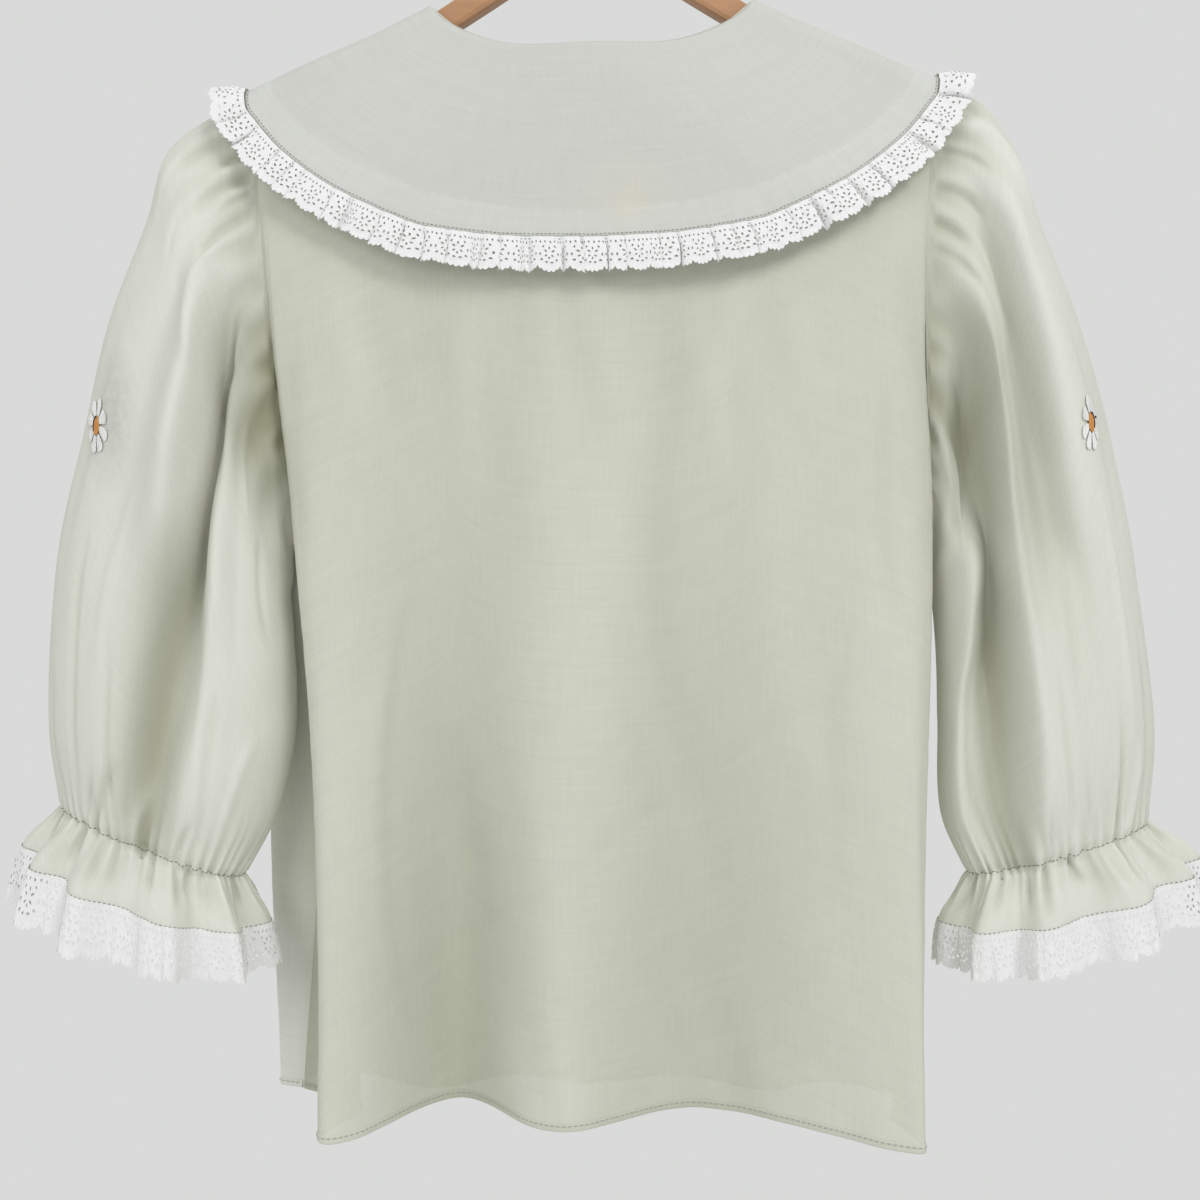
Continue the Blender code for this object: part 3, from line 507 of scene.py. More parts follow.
body = {
    "hem": -768, "underarm": 0.43, "tilt": 0.022, "cutLength": 0.66,
    "backSeed": 3, "frontSeed": 9,
    "shoulderLine": ((0, -58.4), (50, -93), (98, -124.2), (150, -149.5), (200, -172.4), (230, -180)),
    "shoulderRadius": 9.5, "fullDepthBelow": 110, "nominalBack": -20,
    "neckHalf": 94, "neckTop": -120.5,
    "backNeck": (30, 3.6),            # how far the neckline drops, and how square it is
    "frontNeck": (90, 2.4),
    "down": (0, 0.15, 0.43, 0.70, 1),
    # x of each fold at the top, shoulder blade, underarm, waist and hem, then its depth from the
    # shoulder blade down, which at the top is the shoulder blade's
    "backFolds": (
        ("seamLeft", -197, -190, -171, -165, -178, 4, 25, 42, 57),
        ("tuckLeft", -189, -186, -173, -149, -137, 1, 12, 20, 28),
        ("foldLeft", -180, -180, -168, -156, -152, 0, 1, -8, -17),
        ("ridgeLeft", -150, -150, -143, -137, -132, -1, -5, -12, -19),
        ("valleyLeft", -88, -85, -83, -82, -80, 0, 8, 24, 42),
        ("ridgeMiddle", -25, -20, -18, -18, -18, -2, -4, -7, -9),
        ("valleyRight", 60, 62, 63, 63, 64, 0, 5, 15, 27),
        ("ridgeRight", 145, 150, 158, 163, 165, -2, -6, -18, -33),
        ("foldRight", 183, 184, 193, 187, 182, 0, 2, -12, -28),
        ("seamRight", 199, 193.5, 196.5, 192, 173, 4, 25, 18, 10),
    ),
    "frontFolds": (
        ("seamLeft", -197, -190, -171, -165, -178, 32, 25, 42, 57),
        ("foldLeft", -187, -182, -181, -198, -192, 36, 43, 60, 66),
        ("outerWaveLeft", -140, -140, -142, -152, -150, 37, 52, 76, 84),
        ("innerWaveLeft", -95, -95, -95, -98, -98, 36, 44, 54, 58),
        ("waveBesideLeft", -50, -50, -50, -50, -50, 37, 54, 70, 80),
        ("middle", 0, 0, 0, 0, 0, 36, 48, 60, 66),
        ("waveBesideRight", 55, 55, 55, 55, 55, 37, 52, 68, 80),
        ("innerWaveRight", 105, 105, 105, 105, 105, 36, 44, 51, 55),
        ("outerWaveRight", 150, 150, 150, 150, 148, 37, 50, 62, 68),
        ("foldRight", 187, 186, 197, 197, 187, 36, 43, 44, 40),
        ("seamRight", 199, 193.5, 196.5, 192, 173, 32, 25, 18, 10),
    ),
    # soft creases as x and height of both ends, half width and how far they stand out
    "backCreases": (
        (-99, -430, -96, -765, 5, -1.1), (-112, -470, -109, -700, 9, 1.2),
        (-62, -275, -66, -420, 9, 0.9), (-30, -250, -34, -500, 14, -0.9),
        (84, -275, 80, -430, 8, 0.9), (62, -250, 64, -640, 10, -1.0),
        (22, -330, 26, -690, 16, 0.8), (122, -300, 128, -620, 14, 0.9),
        (150, -430, 160, -740, 8, -0.8), (-150, -360, -140, -700, 9, 0.8),
        (101, -741, 128, -746, 3, 0.5), (112, -734, 142, -740, 3, 0.4),
        (170, -330, 182, -520, 6, -0.8), (-168, -300, -160, -460, 6, -0.7),
    ),
    "frontCreases": (
        (-120, -320, -128, -700, 10, 1.2), (-78, -300, -74, -560, 9, -1.1),
        (-40, -420, -38, -740, 8, 1.0), (34, -340, 38, -660, 9, 1.1),
        (80, -300, 84, -720, 12, -1.2), (128, -330, 132, -620, 9, 1.0),
        (160, -420, 168, -720, 8, -0.9), (-160, -460, -176, -720, 7, -0.9),
    ),
    # painted shade: deeper cloth and sunken creases are darker, raised creases lighter
    "tone": 0.12, "depthPerShade": 120, "creaseShade": 0.08,
    "frontShade": 0.22, "paleStrip": (-185, -165),   # painted shade on the fronts' inside, lifted left of the strip's x
    "unevenness": 0.55,
}
panels = (
    # name, node, side, columns as the first and last fold and how many, edges that are seams,
    # the hem's columns in the same way, cut width in metres and area in square metres
    ("back", "back", -1, (0, 9, 280), (0, -1), (0.03, 8.97, 260), 0.44, 0.268),
    ("frontLeft", "front_left", 1, (5.16, 0, 170), (-1,), (5.14, 0.03, 150), 0.24, 0.134),
    ("frontRight", "front_right", 1, (10, 5.18, 170), (0,), (9.97, 5.2, 150), 0.24, 0.13),
)


def ofPanel(side, part):
    # the back's (side -1) or the front's (side 1) entry in the body's dictionary
    return body[("back" if side < 0 else "front") + part]


def shoulderHeight(x):
    # the straight runs of the shoulder line, tilted a little to the wearer's right
    away, height = np.array(body["shoulderLine"], float).T
    return np.interp(np.abs(x), away, height) + body["tilt"] * np.asarray(x)


def neckline(x, shape):
    # a flat-bottomed curve: its drop times one less than the share of the half width, to a power
    drop, power = shape
    share = np.clip(np.abs(x) / body["neckHalf"], 0, 1.2)
    return body["neckTop"] - drop * (1 - share**power) + body["tilt"] * np.asarray(x)


def standingOff(drop, depth):
    # a quarter circle over the hanger, then an ease out to the full depth
    radius = body["shoulderRadius"]
    roundOver = np.sqrt(np.clip(radius**2 - (radius - np.clip(drop, 0, radius))**2, 0, None))
    return roundOver + (depth - radius) * ease(drop / body["fullDepthBelow"])


def seamLines(table, down):
    # each fold's value down the garment; both edges bend at the underarm
    lines = smooth(body["down"], table, down)
    bend = body["down"].index(body["underarm"])
    for edge in (0, -1):
        above = smooth(body["down"][:bend + 1], table[:bend + 1, edge], down)
        below = smooth(body["down"][bend:], table[bend:, edge], down)
        lines[:, edge] = np.where(down < body["underarm"], above, below)
    return lines


def bodyPoints(side, across, down):
    # the body's outer face: smooth curves from fold to fold and down the garment give x and
    # depth, the top edge is the lower of shoulder line and neckline, and height runs evenly
    # from there to the hem; side is -1 for the back and 1 for the front
    folds = ofPanel(side, "Folds")
    number = np.arange(len(folds))
    down = np.asarray(down, float)
    xTable = np.array([row[1:6] for row in folds], float)
    depthTable = np.array([(row[6],) + row[6:] for row in folds], float)
    xLines = seamLines(xTable.T, down)
    depthLines = seamLines(depthTable.T, down)
    x = smooth(number, xLines.T, across).T
    depth = side * (smooth(number, depthLines.T, across).T + body["nominalBack"])
    xTop = smooth(number, xTable[:, 0], across)
    top = np.minimum(shoulderHeight(xTop), neckline(xTop, ofPanel(side, "Neck")))
    z = top[None, :] + (body["hem"] - top[None, :]) * down[:, None]
    y = side * standingOff(shoulderHeight(x) - z, depth)
    return np.stack([x, y, z], axis=-1)


def bodyColumns(side, first, last, count):
    # even columns, and closer ones where the neckline meets the shoulder
    folds = ofPanel(side, "Folds")
    top = [row[1] for row in folds]
    beside = body["neckHalf"] - np.array([0, 0.3, 0.8, 1.6, 2.8, 4.5])
    corners = np.interp(np.concatenate([-beside, beside[::-1]]), top, np.arange(len(folds)))
    low, high = min(first, last), max(first, last)
    corners = corners[(corners > low + 0.01) & (corners < high - 0.01)]
    both = np.sort(np.concatenate([np.linspace(low, high, count), corners]))
    both = both[np.concatenate([[True], np.diff(both) > 0.001])]
    return both if first < last else both[::-1]


# rows down the body: close ones over the shoulder's curve, then even ones
bodyRows = np.concatenate([[0.00003, 0.0002, 0.0006, 0.0013, 0.0024, 0.004, 0.0062, 0.009,
                            0.0125, 0.017], np.linspace(0.022, 1, 210)])


def wornBody(side, across, down):
    # the panel with its creases and unevenness, which fade towards its edges, and its tone, a painted
    # shade: it grows with the depth behind the middle of each row and falls with the creases' height
    points = bodyPoints(side, across, down)
    x, z = points[..., 0], points[..., 2]
    seed = ofPanel(side, "Seed")
    last = len(ofPanel(side, "Folds")) - 1
    inside = rise(across, 0, 0.5) * rise(last - across, 0, 0.5)
    fade = inside[None, :] * rise(down, 0.06, 0.2)[:, None]
    height = creaseHeight(x, z, ofPanel(side, "Creases"))
    broad = ripple(x + 0.22 * z, seed, 28, 130) * ripple(z, seed + 1, 150, 500)
    height += body["unevenness"] * broad
    height += 0.12 * ripple(x * 0.7 - z, seed + 2, 14, 50)
    height *= fade
    behind = -side * points[..., 1]
    behind = (behind - behind.mean(axis=1, keepdims=True)) / body["depthPerShade"]
    tone = body["tone"] + behind - body["creaseShade"] * height
    # painted shade on the fronts, left off at the strip beside the back
    if side > 0:
        tone += body["frontShade"] * rise(x, *body["paleStrip"])
    return points + gridNormals(points) * height[..., None], tone


def seamRoll(points, edges, depth=0.7, reach=2.2):
    # turns the cloth in a little along the chosen side edges, as at a seam
    normals = gridNormals(points)
    for edge in edges:
        away = np.linalg.norm(points - points[:, [edge]], axis=-1)
        points = points - normals * (depth * np.exp(-(away / reach)**2))[..., None]
    return points


hem = {
    # height above the fold and how far the turned-up cloth stands off the panel there
    "section": ((0, -0.9), (0.15, 0.1), (0.4, 0.35), (0.8, 0.45), (1.6, 0.45), (3.0, 0.45),
                (4.4, 0.42), (5.2, 0.1)),
    "stitchAt": 3.4, "stitchLift": 0.6, "stitch": 2.5, "gap": 0.9, "thread": 0.28,
}


def makePanel(name, node, side, columns, seams):
    # one panel's cloth, turned in along its seams
    grid, tone = wornBody(side, bodyColumns(side, *columns), bodyRows)
    look = cotton if side < 0 else frontCotton
    cloth = gridObject(name + "Cloth", seamRoll(grid, seams), look, tone=tone)
    takesPlaceOf(node)
    return cloth


def makeHem(name, side, columns):
    # the turned-up hem: a narrow band over the panel's lower edge, rounded at the fold, and its
    # row of stitches
    tall = body["neckTop"] - body["hem"]
    across = np.linspace(*columns)
    low, lift = np.array(hem["section"]).T
    grid, tone = wornBody(side, across, (1 - low / tall)[::-1])
    grid = grid + gridNormals(grid) * lift[::-1, None, None]
    turned = gridObject(name + "Hem", grid, cotton if side < 0 else frontCotton, tone=tone)
    beside = hem["stitchAt"] + np.array([0.3, 0, -0.3])
    line = wornBody(side, across, 1 - beside / tall)[0]
    up = gridNormals(line)
    stitches = stitchRow(name + "HemStitches", line[1] + up[1] * hem["stitchLift"], up[1], hem,
                         seamThread)
    return [turned, stitches]


panelCloths = [makePanel(*panel[:5]) for panel in panels]
panelHems = [makeHem(panel[0], panel[2], panel[5]) for panel in panels]
print("body made")


# Button band and buttons

band = {
    "middle": 5, "half": 0.24,        # in folds of the front
    "ease": 0.8, "double": 1.8, "top": 0.006, "pucker": 0.25, "tone": 0.2,
    "stitchIn": 0.035, "stitchLift": 0.3, "stitch": 2.5, "gap": 0.9, "thread": 0.26,
}


def bandPoints(across, down, lift=0.0):
    # the front's own surface, moved out by the band's ease and thickness
    grid = bodyPoints(1, across, down)
    grid[..., 1] += band["ease"] + band["double"] + lift
    return grid


def makeBand():
    # a strip down the middle of the front, a little uneven, its edges turned in
    middle = band["middle"]
    across = np.linspace(middle + band["half"], middle - band["half"], 26)
    grid = bandPoints(across, np.concatenate([[band["top"]], np.linspace(0.012, 1, 200)]))
    share = np.linspace(-1, 1, len(across))
    x, z = grid[..., 0], grid[..., 2]
    grid[..., 1] += band["pucker"] * ripple(z + 3 * x, 31, 16, 60) * (1 - share**4)[None, :]
    grid[..., 1] -= (np.abs(share)**14)[None, :]
    tone = np.full(grid.shape[:2], band["tone"])
    cloth = gridObject("buttonBandCloth", grid, frontCotton, tone=tone)
    takesPlaceOf("button_band")
    rows = []
    for name, place in (("Left", -1), ("Right", 1)):
        at = middle + place * (band["half"] - band["stitchIn"])
        line = bandPoints(np.array([at]), np.linspace(0.012, 0.998, 300), band["stitchLift"])[:, 0]
        up = np.broadcast_to(np.array([0.0, 1.0, 0.0]), line.shape)
        rows.append(stitchRow("bandStitches" + name, line, up, band, seamThread))
    return cloth, rows


buttons = {
    "count": 7, "first": -222, "last": -728, "sides": 32,
    # radius and height: flat back, round rim, a raised edge and a dished face
    "profile": ((0, 0), (4.6, 0), (5.3, 0.5), (5.5, 1.2), (5.25, 1.9), (4.7, 2.2), (4.1, 2.05),
                (3.4, 1.6), (2.0, 1.45), (0, 1.45)),
    "holeAway": 1.25, "holeHeight": 1.4, "holeLength": 1.3, "holeRadius": 0.62,
    "threadHeight": 1.75, "threadLength": 4.4, "threadRadius": 0.42,
}


def makeButtons():
    # each button is its profile turned about its middle; its four holes are near-black spindles,
    # painted shade standing in for their depth, with crossed thread over them
    radius, out = np.array(buttons["profile"]).T[..., None]
    turn = np.linspace(0, 2 * math.pi, buttons["sides"] + 1)[:-1]
    disc = np.stack([radius * np.cos(turn), out + 0 * turn, radius * np.sin(turn)], axis=-1)
    holes, crossings, directions = [], [], []
    for number, z in enumerate(np.linspace(buttons["first"], buttons["last"], buttons["count"])):
        node = f"button_{number + 1}"
        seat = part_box(node)[0][1] / millimetre
        button = gridObject(f"buttonShell{number + 1}", disc + np.array([0, seat, z]), buttonShell,
                            ring=True, turned=True)
        takesPlaceOf(node)
        for a in (-1, 1):
            for b in (-1, 1):
                holes.append((a * buttons["holeAway"], seat + buttons["holeHeight"],
                              z + b * buttons["holeAway"]))
            crossings.append((0, seat + buttons["threadHeight"], z))
            directions.append((a * 0.7071, 0, 0.7071))
    for name, centres, along, length, radius, look, flatness in (
            # painted shade: near-black spindles where the holes are
            ("buttonHoleShade", holes, [(1.0, 0.0, 0.0)] * len(holes), buttons["holeLength"],
             buttons["holeRadius"], darkThreadAndHoleShade, 0.3),
            ("buttonThread", crossings, directions, buttons["threadLength"],
             buttons["threadRadius"], petalThread, 0.8)):
        centres, along = np.array(centres, float), np.array(along, float)
        up = np.broadcast_to(np.array([0.0, 1.0, 0.0]), centres.shape)
        piece = spindles(name, centres, along, up, length, radius, look, flatness)


bandCloth, bandStitches = makeBand()
makeButtons()
print("band and buttons made")


# The collar

collar = {
    # from the middle of the back to the shoulder, then from the middle of the front to it
    "backEdge": ((0, -263.4), (55, -261), (104, -252), (127, -241.8), (147, -231), (165, -218),
                 (180, -204.5), (192, -190), (199, -180)),
    "frontEdge": ((19, -309), (29, -321), (45, -325), (80, -317), (115, -299), (150, -266),
                  (180, -220), (194, -194), (199, -182)),
    "neckEdge": ((0, 0), (0.17, 44), (0.34, 78), (0.45, 90), (0.5, 94), (0.56, 91), (0.70, 74),
                 (0.86, 42), (1, 6)),
    "tip": 201, "easeAtNeck": 1.25, "ease": 2.9, "double": 1.8, "slant": 1.12,
    "depthBack": 23.5, "depthFront": 20,
    "seamDeep": 14.5,                 # the turned-in edges show through this far from the edge
    "neckRoll": 2.2, "clearFromNeck": (5, 30), "seamStep": 0.3,
    "pucker": 0.28, "puckerReach": 9, "unevenness": 0.5, "fineUnevenness": 0.10,
    "doubledTone": 0.10, "rimTone": 0.09, "thickness": 1.1,
    "stitchIn": 1.6, "stitch": 1.5, "gap": 0.9, "thread": 0.27,
}


def overDistance(drop):
    # arc length over the rounded shoulder, then the straight drop below it
    radius = body["shoulderRadius"]
    return radius * np.arccos(1 - np.clip(drop, 0, radius) / radius) + np.clip(drop - radius, 0, None)


def collarEdges(along):
    # neck edge and outer edge as x and signed distance from the shoulder line, positive over
    # the back; along runs from -1 in front, over 0 in the middle of the back, to 1 in front
    line = np.array(body["shoulderLine"], float).T
    backX, backZ = np.array(collar["backEdge"], float).T
    frontX, frontZ = np.array(collar["frontEdge"], float).T
    backQ = overDistance(np.interp(backX, *line) - backZ)
    frontQ = overDistance(np.interp(frontX, *line) - frontZ)
    outerX = np.concatenate([backX, [collar["tip"]], frontX[::-1]])
    outerQ = np.concatenate([backQ, [0], -frontQ[::-1]])
    knots = np.concatenate([[0], np.cumsum(np.hypot(np.diff(outerX), np.diff(outerQ)))])
    knots = np.interp(knots, (0, knots[len(backX)], knots[-1]), (0, 0.5, 1))
    outer = smooth(knots, np.stack([outerX, outerQ], axis=1), np.abs(along))
    turn, neckX = np.array(collar["neckEdge"], float).T
    level = np.interp(neckX, *line)
    tilted = body["tilt"] * neckX
    backQ = overDistance(level - neckline(neckX, body["backNeck"]) + tilted)
    frontQ = overDistance(level - neckline(neckX, body["frontNeck"]) + tilted)
    neckQ = np.select([turn < 0.5, turn > 0.5], [backQ, -frontQ], 0)
    inner = smooth(turn, np.stack([neckX, neckQ], axis=1), np.abs(along))
    mirror = np.stack([np.where(along < 0, -1.0, 1.0), np.ones(len(along))], axis=1)
    return inner * mirror, outer * mirror


def overShoulder(flat, space):
    # carries flat points over the shoulder's quarter circles and down both sides, a space clear
    # of the body's outer face
    x, q = flat[..., 0], flat[..., 1]
    radius = body["shoulderRadius"]
    angle = np.clip(np.abs(q) / radius, 0, math.pi / 2)
    drop = radius * (1 - np.cos(angle)) + np.clip(np.abs(q) - radius * math.pi / 2, 0, None)
    depth = np.where(q > 0, collar["depthBack"], collar["depthFront"])
    off = radius * np.sin(angle) + (depth - radius) * ease(drop / body["fullDepthBelow"])
    y = -np.sign(q) * (off + space * np.sin(angle))
    z = shoulderHeight(x) - drop + space * np.cos(angle) * collar["slant"]
    return np.stack([x, y, z], axis=-1)


def evened(values, width):
    # a moving average along the first axis
    kernel = np.ones(width) / width
    padded = np.pad(values, ((width // 2, width // 2), (0, 0)), mode="edge")
    return np.stack([np.convolve(v, kernel, "valid") for v in padded.T], axis=1)


def edgeOutward(along):
    # the two edges, the flat direction out of the outer one that is square to it once it lies
    # over the shoulder, and its running length
    inner, outer = collarEdges(along)
    space, step = collar["ease"] + collar["double"], 0.5
    plain = overShoulder(outer, space)
    place = np.concatenate([[0], np.cumsum(np.linalg.norm(np.diff(plain, axis=0), axis=1))])
    shifts = [overShoulder(outer + shift, space) - overShoulder(outer - shift, space)
              for shift in (np.array([step, 0]), np.array([0, step]))]
    ahead = evened(np.gradient(plain, place, axis=0), 2 * (len(along) // 200) + 1)
    turned = np.stack([np.sum(shifts[1] * ahead, axis=1),
                       -np.sum(shifts[0] * ahead, axis=1)], axis=1)
    out = turned[:, :1] * shifts[0] + turned[:, 1:] * shifts[1]
    turned *= 2 * step / np.linalg.norm(out, axis=1, keepdims=True)
    turned *= np.sign(np.sum(turned * (outer - inner), axis=1, keepdims=True))
    return inner, outer, turned, place


def collarSpace(x, q, place, fromNeck, fromEdge):
    # how far the collar stands off: it grows from the neck edge to the outer edge, with the
    # turned-in edge, puckers along it and slow unevenness on top
    share = fromNeck / (fromNeck + fromEdge)
    deep = collar["seamDeep"]
    clear = rise(fromNeck, *collar["clearFromNeck"])
    space = collar["easeAtNeck"] + (collar["ease"] - collar["easeAtNeck"]) * ease(share / 0.8)
    space = space + collar["double"]
    space = space - (space - 0.3) * (1 - rise(fromNeck, 0, collar["neckRoll"]))
    space = space + collar["seamStep"] * (1 - rise(fromEdge, deep - 1.5, deep + 1.5))
    puckers = ripple(place + 0.3 * fromEdge, 41, 6, 22)
    puckers = puckers * np.exp(-fromEdge / collar["puckerReach"])
    space = space + collar["pucker"] * puckers
    space = space + collar["unevenness"] * ripple(x + 0.4 * q, 42, 60, 240) * clear
    return space + collar["fineUnevenness"] * ripple(q - 0.3 * x, 43, 12, 40) * clear


def makeCollar():
    # straight lines from the neck edge to the outer edge, carried over the shoulder, closer
    # together where they cross it and near both edges
    crossing = 0.5 + 0.045 * np.linspace(-1, 1, 29)
    half = np.sort(np.concatenate([np.linspace(0, 0.45, 90), crossing, np.linspace(0.55, 1, 90)]))
    half = half[np.concatenate([[True], np.diff(half) > 0.0005])]
    inner, outer, _, place = edgeOutward(np.concatenate([-half[:0:-1], half]))
    share = np.concatenate([np.linspace(0, 0.06, 8)[:-1], np.linspace(0.06, 0.94, 62),
                            np.linspace(0.94, 1, 9)[1:]])
    flat = inner[None] + (outer - inner)[None] * share[:, None, None]
    width = np.linalg.norm(outer - inner, axis=1)[None]
    fromEdge = width * (1 - share[:, None])
    fromNeck = width * share[:, None]
    space = collarSpace(flat[..., 0], flat[..., 1], place[None], fromNeck, fromEdge)
    ragged = collar["seamDeep"] + 0.8 * ripple(place, 45, 3, 20)[None]
    tone = collar["doubledTone"] * rise(fromEdge, ragged - 0.4, ragged + 0.4)
    tone = tone + collar["rimTone"] * (1 - rise(fromEdge, 0.6, 1.6))
    cloth = gridObject("collarCloth", overShoulder(flat, space), collarCotton, tone=tone)
    wall = cloth.modifiers.new("two layers", "SOLIDIFY")
    wall.thickness = collar["thickness"] * millimetre
    wall.offset = -1
    takesPlaceOf("collar")
    return cloth


def makeCollarStitches():
    # one row inside the edge and one along the lace's heading just outside it
    inner, outer, out, place = edgeOutward(np.linspace(-1, 1, 6001))
    width = np.linalg.norm(outer - inner, axis=1)
    rows = []
    for name, reach, lift in (("Edge", -collar["stitchIn"], 0.22), ("Header", 1.6, 1.0)):
        flat = outer + out * reach
        space = collarSpace(*flat.T, place, width + min(reach, 0), max(-reach, 0)) + lift
        path = overShoulder(flat, space)
        off = overShoulder(flat, space + 1) - path
        rows.append(stitchRow("collar" + name + "Stitches", path, off, collar, seamThread))
    return rows


collarCloth = makeCollar()
makeCollarStitches()
print("collar made")


# Lace: one repeat of the edging is drawn once and set side by side along each edge

lace = {
    "repeat": 12.5, "deep": 21.5, "fingers": 5, "finger": 1.15, "scallop": 2.3,
    # each hole of the repeat as its place along and down it, half width, half height and turn
    "holes": (
        (1.4, 3.6, 0.55, 0.75, 0), (4.5, 3.3, 0.5, 0.7, 0), (7.8, 3.6, 0.55, 0.75, 0),
        (10.9, 3.3, 0.5, 0.7, 0),
        (3.0, 6.6, 0.5, 0.8, 0.4), (9.5, 6.6, 0.5, 0.8, -0.4),
        (6.25, 7.4, 0.45, 0.9, 0), (4.3, 9.2, 0.5, 0.95, -0.9), (8.2, 9.2, 0.5, 0.95, 0.9),
        (4.6, 12.0, 0.45, 0.85, 0.9), (7.9, 12.0, 0.45, 0.85, -0.9), (6.25, 13.3, 0.45, 0.8, 0),
        (1.3, 11.2, 0.5, 0.9, 0), (11.2, 11.2, 0.5, 0.9, 0),
        (2.3, 14.6, 0.85, 0.6, -0.3), (5.0, 15.8, 0.8, 0.55, 0.2), (7.7, 15.8, 0.8, 0.55, -0.2),
        (10.3, 14.6, 0.85, 0.6, 0.3),
    ),
    "holeSides": 8, "spacing": 1.35,
    "rimRelief": 0.32, "roughness": 0.10, "seed": 5,
}


def scallopEdge(s):
    # the lower edge: an arch over each repeat with five finger-shaped lobes on it
    arch = 1 - np.abs(2 * (s / lace["repeat"] % 1) - 1)**2.2
    lobe = np.abs(np.sin(math.pi * lace["fingers"] * s / lace["repeat"]))**0.8
    return lace["deep"] - lace["scallop"] * (1 - arch) - lace["finger"] * (1 - lobe)


def laceRim():
    # the fixed points of one repeat: its outline, then the edges of its holes, and which of
    # them lie on a hole's edge
    wide = lace["repeat"]
    sideV = np.linspace(0, float(scallopEdge(np.array([0.0]))[0]), 15)
    bottomS = np.linspace(0, wide, lace["fingers"] * 6 + 1)[1:-1]
    points = [(0.0, v) for v in sideV] + [(wide, v) for v in sideV]
    points += [(s, 0.0) for s in np.linspace(0, wide, 10)[1:-1]]
    points += list(zip(bottomS, scallopEdge(bottomS)))
    outline = len(points)
    turn = np.arange(lace["holeSides"]) * 2 * math.pi / lace["holeSides"]
    for s, v, a, b, tilt in lace["holes"]:
        x, y = a * np.cos(turn), b * np.sin(turn)
        points += list(zip(s + x * math.cos(tilt) - y * math.sin(tilt),
                           v + x * math.sin(tilt) + y * math.cos(tilt)))
    return np.array(points), np.arange(len(points)) >= outline


def laceFilling(fixed):
    # evenly spread points of one repeat, clear of its outline and of its holes
    wide, step = lace["repeat"], lace["spacing"]
    s, v = np.meshgrid(np.arange(step * 0.6, wide, step), np.arange(step * 0.7, lace["deep"], step))
    s = s + np.where(np.arange(len(s)) % 2, 0.35 * step, 0)[:, None]
    inside = np.stack([s.ravel(), v.ravel()], axis=1)
    near = np.min(np.linalg.norm(inside[:, None] - fixed[None], axis=-1), axis=1)
    keep = (near > 0.62) & (inside[:, 0] < wide - 0.5)
    keep &= inside[:, 1] < scallopEdge(inside[:, 0]) - 0.4
    for hs, hv, a, b, _ in lace["holes"]:
        keep &= np.hypot(inside[:, 0] - hs, inside[:, 1] - hv) > max(a, b) + 0.1
    return inside[keep]


def laceRepeat():
    # one repeat's points, its triangles from a Delaunay triangulation, without those in a hole
    # or below the edge, and which points lie on a hole's edge
    fixed, rim = laceRim()
    points = np.concatenate([fixed, laceFilling(fixed)])
    rim = np.concatenate([rim, np.zeros(len(points) - len(fixed), bool)])
    result = geometry.delaunay_2d_cdt([Vector(p) for p in points], [], [], 0, 0.0001)
    assert len(result[0]) == len(points)
    order = np.array([ids[0] for ids in result[3]])
    triangles = order[np.array([list(face) for face in result[2]])]
    middle = points[triangles].mean(axis=1)
    keep = middle[:, 1] < scallopEdge(middle[:, 0]) - 0.02
    for hs, hv, a, b, tilt in lace["holes"]:
        dx, dy = middle[:, 0] - hs, middle[:, 1] - hv
        x = dx * math.cos(tilt) + dy * math.sin(tilt)
        y = dy * math.cos(tilt) - dx * math.sin(tilt)
        keep &= (x / a)**2 + (y / b)**2 > 0.8
    triangles = triangles[keep]
    first, second, third = (points[triangles[:, i]] for i in range(3))
    area = np.cross(second - first, third - first)
    triangles[area < 0] = triangles[area < 0][:, ::-1]
    return points, triangles[np.abs(area) > 1e-4], rim


lacePoints, laceTriangles, lacePointsOnRim = laceRepeat()


def laceStrip(count):
    # the repeat set side by side, its shared points made one
    shift = np.arange(count) * lace["repeat"]
    points = lacePoints[None] + np.stack([shift, np.zeros(count)], axis=1)[:, None]
    triangles = laceTriangles[None] + (np.arange(count) * len(lacePoints))[:, None, None]
    points = points.reshape(-1, 2)
    rim = np.tile(lacePointsOnRim, count)
    _, first, same = np.unique(points.round(3), axis=0, return_index=True, return_inverse=True)
    return points[first], same.ravel()[triangles.reshape(-1, 3)], rim[first]


def laceObject(name, strip, triangles, rim, place, outward):
    # thread relief: hole edges are raised, and all is a little uneven
    random = np.random.default_rng(lace["seed"])
    relief = np.where(rim, lace["rimRelief"], 0.0) + random.normal(0, lace["roughness"], len(strip))
    points = place + outward * relief[:, None]
    uv = (strip * millimetre)[triangles].reshape(-1, 2)
    return meshObject(name, points, triangles, laceCotton, uv)


collarLace = {
    "gather": 1.5, "wave": 21.5, "stand": 1.9, "flare": 3.0, "ease": 0.55, "start": 0.2,
    # how unevenly wide the boxes are at the seam and further out, how far they drift along the
    # edge there, how unevenly they stand, and fine ripples at the seam and at the edge
    "wander": 0.34, "outerWander": 0.05, "drift": 1.3, "unevenStand": 0.42,
    "seamRipple": 0.25, "edgeRipple": 0.5,
    # one gather as its share of the cloth, place along the edge and height: a broad face, then
    # a narrow crevice
    "box": ((0, 0.01, 0.45), (0.07, 0.07, 0.85), (0.35, 0.46, 1.0), (0.60, 0.86, 0.92),
            (0.69, 0.955, 0.6), (0.75, 0.975, -0.2), (0.80, 0.965, -0.85), (0.85, 0.98, -1.0),
            (0.90, 1.0, -0.8), (0.95, 0.99, -0.15), (1.0, 1.01, 0.45)),
}


def boxGather(phase):
    # place along the edge and height of repeated gathers, both read from one gather's table
    share, place, height = np.array(collarLace["box"]).T
    within = phase % 1
    return np.floor(phase) + smooth(share, place, within), smooth(share, height, within)


